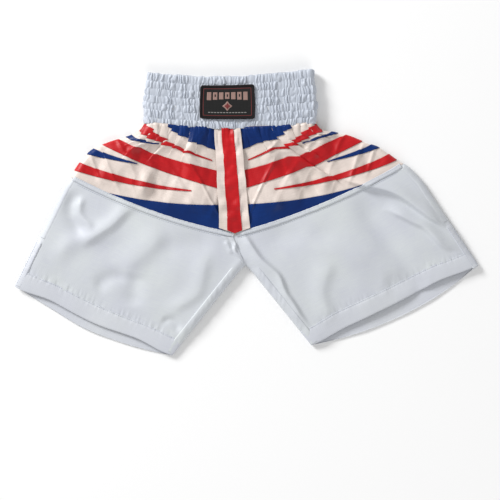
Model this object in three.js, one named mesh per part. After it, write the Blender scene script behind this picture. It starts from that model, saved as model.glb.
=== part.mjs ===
// Boxing shorts laid flat on their back: an elasticated waistband, a flag-pattern yoke and two wide legs.
// Millimetres. +Z is up off the surface, +Y runs from the hems to the waist, +X is the wearer's left.
// The garment is drawn with the middle of its waist seam at (0, 0) and moved, at the end, so that the
// origin is the middle of its base.
import * as THREE from "three";

// ---- Driving dimensions -------------------------------------------------------------------------
const WAIST_WIDTH = 292; // relaxed waistband, laid flat
const WAISTBAND_HEIGHT = 87;
const CHANNELS = 7; // stitched rows: the top one is a frill, the others hold an elastic each
const BODY_DEPTH = 16; // outside depth of the hips and legs, back to front
const RISE = 234; // waist seam to crotch
const FRONT_RISE = 183; // waist seam to the yoke's lowest point
const CLOTH = 1; // a panel with its seam allowances
const TRIM = 0.6; // an applied satin shape, tape or facing
const GAP = 0.3; // clearance between neighbouring pieces
const EDGE_FOLD = 12; // width of the folded strip along each side and inside leg
const EDGE_ROUND = 5; // its outside radius, front and back
const HEM_HEIGHT = 30;
const HEM_THICKNESS = 1.6; // two layers, turned up
const BACK_HEM_SHOWS = 8; // how far the back hem reaches below the front one
const SLIT = 92; // open side slit above the hem
const SLIT_FACING = 11;
const TAPE_WIDTH = 7; // welt along the yoke seam
const STRIP_TOP = 22; // half width of the white centre strip at the waist
const STRIP_BOTTOM = 26; // and at the yoke's point
const RED_STRIP = 0.46; // the red centre strip's share of the white one
const PATCH = { width: 92, height: 57, thickness: 1.2, border: 3.5, rise: 40 };
const SIZE_LABEL = { width: 42, height: 24, rise: 46 };
const ELASTIC = 1.2; // thickness
const ELASTIC_MARGIN = 1.5; // from an elastic's edge to its channel's stitching
const RIB = 1.2; // height of a gathered rib above the stitched valleys
const WALL_IN = ELASTIC / 2 + GAP; // from the middle of an elastic to the casing's near side
const WALL_OUT = WALL_IN + CLOTH; // and to its far side
const WAIST_DEPTH = BODY_DEPTH + WALL_IN + WALL_OUT + RIB; // so that the yoke meets the band's inner wall
const CENTRE_FRONT = -5; // the centre strip's place on the waist seam
const YOKE_POINT = 8; // how far the yoke's point lies from the middle
const CROTCH_SHIFT = 25; // how far the crotch lies from the middle
const GUSSET_WIDTH = 18;
const CROTCH_CLEARANCE = 2; // keeps the two legs apart where they meet
const STRIP_POINTS = { white: 9, red: 5 }; // height of the centre strips' points
const SEAM_STEPS = 16; // straight pieces along a yoke seam
const HIP_STEPS = 18; // and along a hip
const FLAG_STEPS = 16; // and along a flag shape's edge
const BEND_STEPS = 8; // and round each end of the waistband
const FIELD_STEPS = 200; // fineness of the search for the place where two curves meet
const STRAIGHT = 0.001; // a corner that spans a smaller area, in square millimetres, is left out
const RAY_TIP = 0.012; // a flag shape's narrow end, as a share of the yoke's height
const TOP_CLEARANCE = 0.03; // share of the side that the flag leaves free below the waist

const HIP_NOTCH = [12, 14]; // where the hip's curve starts, outwards and down from the waistband's corner

// Each leg is a trapezium that starts on its fold line, which runs from the crotch to the hip.
// splay: the fold line's slope. hemIn and hemOut: the hem's ends, measured along the fold line.
// flank: the pull of the hip's curve, outwards and down from the waistband's corner.
// seamEnd: how far down the hip's curve the yoke seam meets it. sag: how the seam bows.
const LEGS = {
  left: {
    side: 1, splay: 25.7, thigh: 325, length: 171, hemIn: 42, hemOut: 350,
    flank: [[70, 20], [130, 52]], seamEnd: 0.84, sag: [17, -17],
  },
  right: {
    side: -1, splay: 23.9, thigh: 323, length: 188, hemIn: 51, hemOut: 339,
    flank: [[85, 30], [105, 65]], seamEnd: 0.95, sag: [0, -24],
  },
};

// The flag's shapes on one side of the yoke. An end is [across, from, to]: across runs from the centre
// strip's edge (0) to the side (1), and from and to run from the waist (0) to the yoke seam (1).
const FLAG = {
  blue_upper: { inner: [0, 0, 0.22], outer: [0.65, 0, RAY_TIP], colour: "blue" },
  red_ray_upper: { inner: [0.04, 0.325, 0.325 + RAY_TIP], outer: [0.98, 0, 0.1], colour: "red" },
  blue_side_upper: { inner: [0.58, 0.22, 0.22 + RAY_TIP], outer: [1, 0.19, 0.26], colour: "blue" },
  red_bar: { inner: [0, 0.43, 0.6], outer: [1, 0.34, 0.52], colour: "red" },
  blue_side_lower: { inner: [0.62, 0.565, 0.565 + RAY_TIP], outer: [1, 0.62, 0.71], colour: "blue" },
  red_ray_lower: { inner: [0.2, 0.675, 0.675 + RAY_TIP], outer: [1, 0.82, 0.92], colour: "red" },
  blue_lower: { inner: [0, 0.745, 1], outer: [0.74, 1 - RAY_TIP, 1], colour: "blue" },
};

// ---- Materials ----------------------------------------------------------------------------------
const satin = (colour, roughness) => new THREE.MeshStandardMaterial({ color: colour, roughness, metalness: 0 });
const MATERIALS = {
  white: satin(0xd6dbe3, 0.42),
  band: satin(0xd3d9e8, 0.5),
  ivory: satin(0xe9ddd6, 0.38),
  red: satin(0xc11722, 0.36),
  blue: satin(0x14326f, 0.36),
  elastic: satin(0xe6e6e2, 0.8),
  patch: satin(0x1d1b1e, 0.75),
  border: satin(0x0d0b0d, 0.7),
  label: satin(0xf2f2f0, 0.6),
};

const shorts = new THREE.Group();

function add(name, geometry, material) {
  const mesh = new THREE.Mesh(geometry, MATERIALS[material]);
  mesh.name = name;
  shorts.add(mesh);
  return mesh;
}

// ---- Shape helpers ------------------------------------------------------------------------------
const vec = (x, y) => new THREE.Vector2(x, y);

// A flat piece of cloth: the outline, raised to z and given a thickness.
function sheet(outline, z, thickness) {
  const geometry = new THREE.ExtrudeGeometry(new THREE.Shape(outline), { depth: thickness, bevelEnabled: false });
  return geometry.translate(0, 0, z);
}

// The sideways step, to the left of the way a path runs, that moves every point 1 mm off its line.
// startCut and endCut are the directions of the two end faces.
function mitres(path, { closed = false, startCut = null, endCut = null } = {}) {
  const count = path.length;
  return path.map((point, i) => {
    const before = path[closed ? (i - 1 + count) % count : Math.max(i - 1, 0)];
    const after = path[closed ? (i + 1) % count : Math.min(i + 1, count - 1)];
    const incoming = point.clone().sub(before).normalize();
    const outgoing = after.clone().sub(point).normalize();
    const along = incoming.clone().add(outgoing).normalize();
    const normal = vec(-along.y, along.x);
    const cut = i === 0 ? startCut : i === count - 1 ? endCut : null;
    if (cut) return cut.clone().divideScalar(cut.dot(normal));
    const run = incoming.lengthSq() > 0.5 ? incoming : outgoing;
    return normal.clone().divideScalar(normal.dot(vec(-run.y, run.x)));
  });
}

// A path as a curve whose parameter is the share of its length.
function polyline(points) {
  const curve = new THREE.CurvePath();
  points.slice(1).forEach((point, i) => curve.add(new THREE.LineCurve(points[i], point)));
  return curve;
}

// Moves a path sideways, to its left where distance is positive.
function offset(path, distance, ends) {
  return mitres(path, ends).map((step, i) => path[i].clone().addScaledVector(step, distance));
}

// Sweeps a closed outline of (sideways offset, height) points along a path in the XY plane.
function sweep(outline, path, ends = {}) {
  const profile = THREE.ShapeUtils.isClockWise(outline) ? [...outline].reverse() : outline;
  const count = path.length;
  const sides = profile.length;
  const position = mitres(path, ends).flatMap((step, i) =>
    profile.flatMap((p) => [path[i].x + step.x * p.x, path[i].y + step.y * p.x, p.y]),
  );
  const index = [];
  for (let i = 0; i < (ends.closed ? count : count - 1); i++) {
    for (let j = 0; j < sides; j++) {
      const a = i * sides + j;
      const b = i * sides + ((j + 1) % sides);
      const c = ((i + 1) % count) * sides + j;
      const d = ((i + 1) % count) * sides + ((j + 1) % sides);
      index.push(a, b, c, b, d, c);
    }
  }
  if (!ends.closed) {
    const last = (count - 1) * sides;
    for (const [a, b, c] of THREE.ShapeUtils.triangulateShape(profile, [])) {
      index.push(a, c, b, last + a, last + b, last + c);
    }
  }
  const geometry = new THREE.BufferGeometry();
  geometry.setAttribute("position", new THREE.Float32BufferAttribute(position, 3));
  geometry.setIndex(index);
  return outwardFacing(geometry);
}

// Turns the faces round if the surface encloses a negative volume.
function outwardFacing(geometry) {
  const p = geometry.getAttribute("position");
  const index = geometry.getIndex().array;
  const corner = (i) => new THREE.Vector3().fromBufferAttribute(p, index[i]);
  let volume = 0;
  for (let i = 0; i < index.length; i += 3) volume += corner(i).dot(corner(i + 1).cross(corner(i + 2)));
  if (volume < 0) {
    for (let i = 0; i < index.length; i += 3) [index[i + 1], index[i + 2]] = [index[i + 2], index[i + 1]];
  }
  return geometry;
}

// Points along a curve from one share of it to another.
function stretch(curve, from, to, steps) {
  return Array.from({ length: steps + 1 }, (_, i) => curve.getPoint(from + ((to - from) * i) / steps));
}

const lerp = (a, b, t) => a + (b - a) * t;

// ---- Layout -------------------------------------------------------------------------------------
const waistCentre = vec(CENTRE_FRONT, 0);
const yokePoint = vec(YOKE_POINT, -FRONT_RISE);
const crotch = vec(CROTCH_SHIFT, -RISE);
const frontZ = BODY_DEPTH - CLOTH;
const trimZ = BODY_DEPTH + GAP;

// A leg's own frame: u runs out along the fold line from the crotch, v runs down towards the hem.
// inner and outer give the leg's edges at v, moved into the leg by an inset.
function legFrame(leg) {
  const splay = THREE.MathUtils.degToRad(leg.splay);
  const out = vec(leg.side * Math.cos(splay), Math.sin(splay));
  const down = vec(leg.side * Math.sin(splay), -Math.cos(splay));
  const at = (u, v) => crotch.clone().addScaledVector(out, u).addScaledVector(down, v);
  const edge = (start, end, inwards) => {
    const slant = Math.hypot(1, (end - start) / leg.length);
    return (v, inset = 0) => lerp(start, end, v / leg.length) + inwards * inset * slant;
  };
  return { out, down, at, inner: edge(CROTCH_CLEARANCE, leg.hemIn, 1), outer: edge(leg.thigh, leg.hemOut, -1) };
}

// The full hip's curve, from just below the waistband's corner to the end of the fold line.
function hipCurve(leg, hip) {
  const fromCorner = ([out, down]) => vec(leg.side * (WAIST_WIDTH / 2 + out), -GAP - down);
  return new THREE.CubicBezierCurve(fromCorner(HIP_NOTCH), ...leg.flank.map(fromCorner), hip);
}

// The silhouette of the hips on one side, and the cuts at its two ends.
function hipEdge(leg, silhouette) {
  const path = [vec((leg.side * WAIST_WIDTH) / 2, -GAP), ...stretch(silhouette, 0, 1, HIP_STEPS)];
  return { path, ends: { startCut: vec(-leg.side, 0), endCut: legFrame(leg).out.negate() } };
}

// The yoke's lower seam, from its point at the centre front to the hip.
function yokeSeam(leg, silhouette) {
  const end = silhouette.getPoint(leg.seamEnd);
  const middle = vec((yokePoint.x + end.x) / 2 + leg.sag[0], (yokePoint.y + end.y) / 2 + leg.sag[1]);
  return new THREE.QuadraticBezierCurve(yokePoint, middle, end);
}

// A smooth grid over four edges: across runs from the centre to the side, down from waist to seam.
function coons(top, bottom, inner, outer) {
  const ends = [top(0), top(1), bottom(0), bottom(1)];
  return (a, d) => {
    const mix = (p, q, r, s, axis) =>
      lerp(p[axis], q[axis], d) + lerp(r[axis], s[axis], a) -
      lerp(lerp(ends[0][axis], ends[1][axis], a), lerp(ends[2][axis], ends[3][axis], a), d);
    const edges = [top(a), bottom(a), inner(d), outer(d)];
    return vec(mix(...edges, "x"), mix(...edges, "y"));
  };
}

// The middle of the yoke at a height, and the edge of a strip that covers a share of the centre strip.
const centreLine = (y) => lerp(CENTRE_FRONT, YOKE_POINT, -y / FRONT_RISE);
const stripEdge = (y, side, share = 1) => centreLine(y) + side * share * lerp(STRIP_TOP, STRIP_BOTTOM, -y / FRONT_RISE);

// The part of one side of the yoke that the flag covers.
function flagField(leg, silhouette, seam) {
  const edge = hipEdge(leg, silhouette);
  const side = polyline(offset(edge.path, -leg.side * (EDGE_FOLD + 2 * GAP), edge.ends));
  const tapeEdge = offset(stretch(seam, 0, 1, 2 * SEAM_STEPS), leg.side * (TAPE_WIDTH / 2 + GAP));
  const { index, point: foot } = crossing(tapeEdge, (p) => leg.side * (p.x - stripEdge(p.y, leg.side)) - GAP);
  const lower = polyline([foot, ...tapeEdge.slice(index)]);
  const lowerEnd = nearest(lower, side);
  const sideEnd = nearest(side, lower);
  const inner = (d) => {
    const y = lerp(-2 * GAP, foot.y, d);
    return vec(stripEdge(y, leg.side) + leg.side * GAP, y);
  };
  const bottom = (a) => lower.getPoint(lowerEnd * a);
  const miss = bottom(1).sub(side.getPoint(sideEnd));
  const outer = (d) => side.getPoint(lerp(TOP_CLEARANCE, sideEnd, d)).addScaledVector(miss, d);
  const top = (a) => inner(0).lerp(outer(0), a);
  return coons(top, bottom, inner, outer);
}

// Where a path first reaches a positive measure, and the index of the path's next point.
function crossing(path, measure) {
  const index = path.findIndex((p) => measure(p) > 0);
  const before = measure(path[index - 1]);
  const share = before / (before - measure(path[index]));
  return { index, point: path[index - 1].clone().lerp(path[index], share) };
}

// The share of a curve at which it first comes closest to another.
function nearest(curve, other) {
  const shares = Array.from({ length: FIELD_STEPS + 1 }, (_, i) => i / FIELD_STEPS);
  const points = other.getSpacedPoints(2 * FIELD_STEPS);
  const gaps = shares.map((share) => Math.min(...points.map((p) => p.distanceTo(curve.getPoint(share)))));
  return shares[gaps.indexOf(Math.min(...gaps))];
}

// ---- Waistband ----------------------------------------------------------------------------------
// The band is a flattened loop, drawn in a frame whose Z is the garment's Y.
function waistLoop() {
  const channel = WAISTBAND_HEIGHT / CHANNELS;
  const bendRadius = WAIST_DEPTH / 2 - WALL_OUT - RIB;
  const straight = WAIST_WIDTH / 2 - WAIST_DEPTH / 2;
  const turn = (start, x) =>
    Array.from({ length: BEND_STEPS + 1 }, (_, i) => {
      const angle = start + (Math.PI * i) / BEND_STEPS;
      return vec(x + bendRadius * Math.cos(angle), bendRadius * Math.sin(angle));
    });
  const path = [...turn(-Math.PI / 2, straight), ...turn(Math.PI / 2, -straight)];
  return { channel, path };
}

function placeBand(mesh) {
  mesh.rotation.x = -Math.PI / 2;
  mesh.position.z = WAIST_DEPTH / 2;
}

function buildWaistband() {
  const { channel, path } = waistLoop();
  const ribs = [];
  const stepsPerRib = 4;
  for (let i = 0; i <= CHANNELS * stepsPerRib; i++) {
    const height = (i / stepsPerRib) * channel;
    ribs.push(vec(-(WALL_OUT + RIB * Math.abs(Math.sin((Math.PI * i) / stepsPerRib))), height));
  }
  const top = WAISTBAND_HEIGHT;
  const profile = [
    ...ribs,
    vec(WALL_OUT, top),
    vec(WALL_OUT, 0),
    vec(WALL_IN, 0),
    vec(WALL_IN, top - CLOTH),
    vec(-WALL_IN, top - CLOTH),
    vec(-WALL_IN, 0),
  ];
  placeBand(add("waistband_casing", sweep(profile, path, { closed: true }), "band"));
  for (let row = 1; row < CHANNELS; row++) {
    const low = (row - 1) * channel + ELASTIC_MARGIN;
    const high = row * channel - ELASTIC_MARGIN;
    const half = ELASTIC / 2;
    const section = [vec(-half, low), vec(half, low), vec(half, high), vec(-half, high)];
    placeBand(add(`waist_elastic_${row}`, sweep(section, path, { closed: true }), "elastic"));
  }
}

function buildPatch() {
  const z = WAIST_DEPTH + GAP;
  const rectangle = (width, height, rise) => [
    vec(CENTRE_FRONT - width / 2, rise - height / 2),
    vec(CENTRE_FRONT + width / 2, rise - height / 2),
    vec(CENTRE_FRONT + width / 2, rise + height / 2),
    vec(CENTRE_FRONT - width / 2, rise + height / 2),
  ];
  const { width, height, thickness, border, rise } = PATCH;
  const inside = 2 * (border + GAP);
  add("front_patch", sheet(rectangle(width - inside, height - inside, rise), z, thickness), "patch");
  const frame = new THREE.Shape(rectangle(width, height, rise));
  frame.holes.push(new THREE.Path(rectangle(width - 2 * border, height - 2 * border, rise)));
  const edging = new THREE.ExtrudeGeometry(frame, { depth: thickness + TRIM, bevelEnabled: false });
  add("patch_border", edging.translate(0, 0, z), "border");
  const labelZ = RIB + WALL_OUT + WALL_IN + CLOTH + GAP;
  const label = rectangle(SIZE_LABEL.width, SIZE_LABEL.height, SIZE_LABEL.rise);
  add("size_label", sheet(label, labelZ, TRIM), "label");
}

// ---- Folded strips along the sides and inside legs ------------------------------------------------
// A strip of cloth folded round the edge from front to back: a rounded C, open towards the inside.
function foldProfile() {
  const arc = (radius, z, start) => [0, 1, 2, 3].map((i) => {
    const angle = start + (i * Math.PI) / 6;
    return vec(EDGE_ROUND - radius * Math.sin(angle), z - radius * Math.cos(angle));
  });
  const shell = (radius) => [
    ...arc(radius, EDGE_ROUND, 0),
    ...arc(radius, BODY_DEPTH - EDGE_ROUND, Math.PI / 2),
  ];
  return [
    vec(EDGE_FOLD, 0), ...shell(EDGE_ROUND), vec(EDGE_FOLD, BODY_DEPTH),
    vec(EDGE_FOLD, frontZ), ...shell(EDGE_ROUND - CLOTH).reverse(), vec(EDGE_FOLD, CLOTH),
  ];
}

// Folds a strip along a path; inward is +1 where the garment lies to the left of the path.
function foldedStrip(name, path, inward, cuts) {
  const profile = foldProfile().map((p) => vec(inward * p.x, p.y));
  return add(name, sweep(profile, path, cuts), "white");
}

// ---- Hips and yoke --------------------------------------------------------------------------------
function buildHips(name, leg) {
  const frame = legFrame(leg);
  const silhouette = hipCurve(leg, frame.at(leg.thigh, -GAP));
  const seam = yokeSeam(leg, silhouette);
  const edge = hipEdge(leg, silhouette);
  foldedStrip(`${name}_hip_side_strip`, edge.path, -leg.side, edge.ends);

  const inset = offset(edge.path, -leg.side * (EDGE_FOLD + GAP), edge.ends);
  const flank = inset.slice(1);
  const inside = (p) => flank.every((q, i) => i === 0 || sideOf(flank[i - 1], q, p) * leg.side < 0);
  const seamPoints = stretch(seam, 0, 1, SEAM_STEPS);
  const reach = seamPoints.filter((p, i) => i === 0 || inside(p)).length;
  const seamSide = (distance) => offset(seamPoints, leg.side * distance).slice(0, reach);
  const middle = (y) => (leg.side * GAP) / 2 + (y > -FRONT_RISE
    ? centreLine(y)
    : lerp(YOKE_POINT, CROTCH_SHIFT, (-y - FRONT_RISE) / (RISE - FRONT_RISE)));

  const yokeEdge = seamSide(GAP / 2);
  const lowest = yokeEdge[reach - 1];
  const above = inset.filter((p) => p.y > lowest.y).reverse();
  const tip = vec(middle(yokeEdge[0].y), yokeEdge[0].y);
  const yoke = [vec(middle(-GAP), -GAP), tip, ...yokeEdge.slice(1), ...above];
  add(`${name}_front_yoke`, sheet(yoke, frontZ, CLOTH), "ivory");

  const legEdge = seamSide(-GAP / 2);
  const clear = leg.side < 0 ? GUSSET_WIDTH + GAP : GAP;
  const legTop = legEdge.filter((p) => leg.side * (p.x - yokePoint.x) > clear);
  const below = inset.filter((p) => p.y < legEdge[reach - 1].y);
  const crotchEnd = frame.at(CROTCH_CLEARANCE, -GAP);
  add(`${name}_front_leg_top`, sheet([crotchEnd, ...legTop, ...below], frontZ, CLOTH), "white");

  const seatEnd = CROTCH_CLEARANCE - RISE;
  const back = [vec(middle(-GAP), -GAP), vec(middle(seatEnd), seatEnd), crotchEnd, ...[...inset].reverse()];
  add(`${name}_back_yoke`, sheet(back, 0, CLOTH), "ivory");

  const half = TAPE_WIDTH / 2;
  const welt = [vec(-half, trimZ), vec(half, trimZ), vec(half, trimZ + TRIM), vec(-half, trimZ + TRIM)];
  const tapeStart = TAPE_WIDTH / seam.getLength();
  const tape = sweep(welt, stretch(seam, tapeStart, (reach - 1) / SEAM_STEPS, SEAM_STEPS));
  add(`${name}_yoke_seam_tape`, tape, "white");
  return { silhouette, seam };
}

// An outline without the points that lie on a straight line between their neighbours.
function corners(outline) {
  const count = outline.length;
  return outline.filter((p, i) => {
    const before = outline[(i - 1 + count) % count];
    return Math.abs(sideOf(before, outline[(i + 1) % count], p)) > STRAIGHT;
  });
}

// Positive where p lies to the left of the line from a to b.
function sideOf(a, b, p) {
  return (b.x - a.x) * (p.y - a.y) - (b.y - a.y) * (p.x - a.x);
}

function buildFlag(name, leg, silhouette, seam) {
  const field = flagField(leg, silhouette, seam);
  const edge = (from, to) => Array.from({ length: FLAG_STEPS + 1 }, (_, i) =>
    field(lerp(from[0], to[0], i / FLAG_STEPS), lerp(from[1], to[1], i / FLAG_STEPS)));
  for (const [shape, { inner, outer, colour }] of Object.entries(FLAG)) {
    const upper = edge([inner[0], inner[1]], [outer[0], outer[1]]);
    const lower = edge([inner[0], inner[2]], [outer[0], outer[2]]);
    add(`${name}_${shape}`, sheet(corners([...upper, ...lower.reverse()]), trimZ, TRIM), colour);
  }
}

function buildCentreStrips() {
  const top = -2 * GAP;
  const strip = (name, colour, share, z, point) => {
    const foot = TAPE_WIDTH - FRONT_RISE;
    const outline = [
      vec(stripEdge(top, -1, share), top),
      vec(stripEdge(foot + point, -1, share), foot + point),
      vec(centreLine(foot), foot),
      vec(stripEdge(foot + point, 1, share), foot + point),
      vec(stripEdge(top, 1, share), top),
    ];
    add(name, sheet(outline, z, TRIM), colour);
  };
  strip("centre_strip_white", "ivory", 1, trimZ, STRIP_POINTS.white);
  strip("centre_strip_red", "red", RED_STRIP, trimZ + TRIM + GAP, STRIP_POINTS.red);
}

// The gusset fills the gap that the right leg's front leaves between the yoke's point and the crotch.
function buildGusset() {
  const leg = LEGS.right;
  const frame = legFrame(leg);
  const seam = yokeSeam(leg, hipCurve(leg, frame.at(leg.thigh, -GAP)));
  const seamPoints = offset(stretch(seam, 0, 1, SEAM_STEPS), -leg.side * GAP);
  const corner = crossing(seamPoints, (p) => leg.side * (p.x - yokePoint.x) - GUSSET_WIDTH).point;
  const crotchEnd = frame.at(CROTCH_CLEARANCE, -2 * GAP);
  const outline = [
    vec(yokePoint.x - GAP, yokePoint.y - 2 * GAP),
    vec(crotchEnd.x + CROTCH_CLEARANCE, crotchEnd.y + CROTCH_CLEARANCE),
    vec(crotchEnd.x + GAP, crotchEnd.y + CROTCH_CLEARANCE),
    corner,
  ];
  add("crotch_gusset", sheet(outline, frontZ, CLOTH), "white");
}

// ---- Legs -----------------------------------------------------------------------------------------
function buildLeg(name, leg) {
  const { at, inner, outer, out } = legFrame(leg);
  const inset = EDGE_FOLD + GAP;
  const slitTop = leg.length - SLIT;
  const frontLength = leg.length - BACK_HEM_SHOWS;
  const path = (edge, from, to) => [at(edge(from), from), at(edge(to), to)];
  foldedStrip(`${name}_leg_side_strip`, path(outer, GAP, slitTop), -leg.side, {
    startCut: out.clone().negate(),
    endCut: out.clone().negate(),
  });
  foldedStrip(`${name}_inseam_strip`, path(inner, GAP, frontLength), leg.side, { startCut: out, endCut: out });

  const panel = (bottom) => [
    at(inner(GAP, inset), GAP),
    at(inner(bottom, inset), bottom),
    at(outer(bottom, SLIT_FACING + GAP), bottom),
    at(outer(slitTop + GAP, inset), slitTop + GAP),
    at(outer(GAP, inset), GAP),
  ];
  const hem = (bottom) => [
    at(inner(bottom - HEM_HEIGHT, inset), bottom - HEM_HEIGHT),
    at(inner(bottom, inset), bottom),
    at(outer(bottom, SLIT_FACING + GAP), bottom),
    at(outer(bottom - HEM_HEIGHT, SLIT_FACING + GAP), bottom - HEM_HEIGHT),
  ];
  const facing = (bottom) => [
    at(outer(slitTop + GAP, SLIT_FACING), slitTop + GAP),
    at(outer(bottom, SLIT_FACING), bottom),
    at(outer(bottom), bottom),
    at(outer(slitTop + GAP), slitTop + GAP),
  ];
  for (const [layer, length, z, hemZ] of [
    ["front", frontLength, frontZ, BODY_DEPTH - HEM_THICKNESS + TRIM / 2],
    ["back", leg.length, 0, 0],
  ]) {
    add(`${name}_${layer}_leg`, sheet(panel(length - HEM_HEIGHT - GAP), z, CLOTH), "white");
    add(`${name}_${layer}_hem`, sheet(hem(length), hemZ, HEM_THICKNESS), "band");
    add(`${name}_${layer}_slit_facing`, sheet(facing(length), z, CLOTH), "band");
  }
}

// ---- Assembly -------------------------------------------------------------------------------------
buildWaistband();
buildPatch();
buildCentreStrips();
buildGusset();
for (const [name, leg] of Object.entries(LEGS)) {
  const { silhouette, seam } = buildHips(name, leg);
  buildFlag(name, leg, silhouette, seam);
  buildLeg(name, leg);
}

// The origin is the middle of the base.
const box = new THREE.Box3().setFromObject(shorts);
shorts.position.set(-(box.min.x + box.max.x) / 2, -(box.min.y + box.max.y) / 2, -box.min.z);

export default shorts;
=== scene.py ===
"""Boxing shorts laid flat on their back: gathered waistband, flag-pattern yoke, two wide hemmed legs.

Everything is drawn in millimetres in the garment's own frame: the middle of the waist seam is (0, 0), +X is
the wearer's left, +Y runs from the hems to the waist and +Z is up off the floor. place() turns that into the
row frame. Folds, pleats and gathers are height functions and repeatable noise; no cloth is simulated.
"""
import math
from functools import partial

import bpy
import numpy as np
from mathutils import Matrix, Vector


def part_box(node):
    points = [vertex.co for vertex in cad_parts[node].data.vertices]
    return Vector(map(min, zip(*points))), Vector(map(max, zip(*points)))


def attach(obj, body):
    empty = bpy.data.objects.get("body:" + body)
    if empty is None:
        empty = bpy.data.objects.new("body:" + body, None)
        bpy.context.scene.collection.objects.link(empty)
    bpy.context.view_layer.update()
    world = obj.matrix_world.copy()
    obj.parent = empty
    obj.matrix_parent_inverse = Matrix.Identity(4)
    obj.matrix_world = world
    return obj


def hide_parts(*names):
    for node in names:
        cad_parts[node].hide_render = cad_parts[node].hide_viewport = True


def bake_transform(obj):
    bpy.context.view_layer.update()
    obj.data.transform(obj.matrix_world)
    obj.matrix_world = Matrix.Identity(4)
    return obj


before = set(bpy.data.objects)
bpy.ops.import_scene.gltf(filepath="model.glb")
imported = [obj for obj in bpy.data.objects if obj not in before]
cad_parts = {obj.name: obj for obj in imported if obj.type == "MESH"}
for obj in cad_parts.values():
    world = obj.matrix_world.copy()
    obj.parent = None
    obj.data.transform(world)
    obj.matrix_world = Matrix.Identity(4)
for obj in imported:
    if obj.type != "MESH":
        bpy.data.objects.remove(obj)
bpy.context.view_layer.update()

# ---- Driving dimensions, in millimetres, repeated from the part -------------------------------------------
WAIST_WIDTH = 292
WAISTBAND_HEIGHT = 87
CHANNELS = 7
BODY_DEPTH = 16
WAIST_DEPTH = 20
RISE = 234
FRONT_RISE = 183
HEM_HEIGHT = 30
BACK_HEM_SHOWS = 8
SLIT = 92
SLIT_FACING = 11
EDGE_FOLD = 12
TAPE_WIDTH = 7
STRIP_TOP, STRIP_BOTTOM = 22, 26
RED_STRIP = 0.46
CENTRE_FRONT, YOKE_POINT, CROTCH_SHIFT = -5, 8, 25
CROTCH_CLEARANCE = 2
PATCH_WIDTH, PATCH_HEIGHT, PATCH_RISE, PATCH_BORDER = 92, 57, 40, 3.5
PATCH_RAISED = 4  # it sits higher than in the part, because the waist sags in the middle
PATCH_X, PATCH_Y, PATCH_Z = CENTRE_FRONT, PATCH_RISE + PATCH_RAISED, WAIST_DEPTH + 0.7
LABEL_WIDTH, LABEL_HEIGHT, LABEL_RISE, LABEL_Z = 42, 24, 46, 4.4
ELASTIC, ELASTIC_MARGIN = 1.2, 1.5

# Each leg: the fold line's slope in degrees and length, the leg's length below it, how far out its hem
# starts and ends, points down the flank (out from and down from the waistband's corner), the yoke seam's end
# counted the same way, how far the seam sags, and how far the front and back hems bow down. The flanks, the
# seams' ends, thigh and hem_out follow the photo's outline more closely than the part does.
LEGS = {
    "left": dict(side=1, splay=25.7, thigh=330, length=171, hem_in=42, hem_out=354,
                 flank=((10, 11), (33, 18), (55, 23), (80, 32), (105, 40), (120, 49), (134, 58), (154, 68)),
                 seam_end=(146, 64), sag=(17, -17), bow=(5, 21)),
    "right": dict(side=-1, splay=23.9, thigh=333, length=188, hem_in=51, hem_out=341,
                  flank=((9, 12), (26, 23), (58, 32), (83, 41), (95, 49), (104, 58), (112, 68), (125, 87)),
                  seam_end=(123, 84), sag=(0, -24), bow=(12, 17)),
}

# ---- Cloth ----------------------------------------------------------------------------------------------
CLOTH = 0.5  # thickness of a panel
APPLIED = 0.45  # thickness of an applied satin shape
APPLIED_GAP = 0.7  # from the panel to the shape's underside
COLUMN = 0.8  # spacing of a yoke's columns
ROW = 1.9  # and of its rows
EDGE_RADIUS = 13  # how far from a closed edge the front starts to curve down
BACK_RADIUS = 9
EDGE_HEIGHT = 5  # height of the side and inside leg seams off the floor
BACK_HEIGHT = 0.8  # of the back panels
BEND = 50  # how far below the fold line a leg still bends
HEM_STITCH = 1.8  # from a hem's upper edge to its stitching
UNDER_BAND = (-0.03, -0.015)  # rows of the yoke and centre strips that run on up under the waistband
TUCKED_IN = 120  # millimetres that such a row lies above the waist seam, for each unit
YOKE_WIDTH, YOKE_CLOTH = 290, 360  # one side's width along the yoke seam, and its cloth's with the gathers

# A pleat: its share of the way across at the waist and at its lower end, how far down the yoke it reaches,
# and the width of cloth that it hides.
PLEATS = {
    "left": [(0.2, 0.2, 0.22, 5), (0.33, 0.34, 0.32, 8), (0.47, 0.66, 0.85, 20), (0.585, 0.71, 0.55, 15),
             (0.69, 0.69, 0.32, 10), (0.79, 0.77, 0.4, 12), (0.885, 0.88, 0.34, 10), (0.965, 0.96, 0.36, 10)],
    "right": [(0.22, 0.22, 0.22, 5), (0.33, 0.32, 0.3, 8), (0.43, 0.42, 0.4, 11), (0.55, 0.54, 0.36, 9),
              (0.66, 0.65, 0.48, 14), (0.77, 0.73, 0.4, 11), (0.87, 0.81, 0.54, 16), (0.955, 0.9, 0.4, 10)],
}
FALL = 0.7  # how far a pleat carries the pattern down, as a share of the cloth that it hides
GATHERS = 15  # fine gathers between them, along one side of the waist
GATHER_TUCK, GATHER_REACH = 2.6, 0.16

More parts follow.
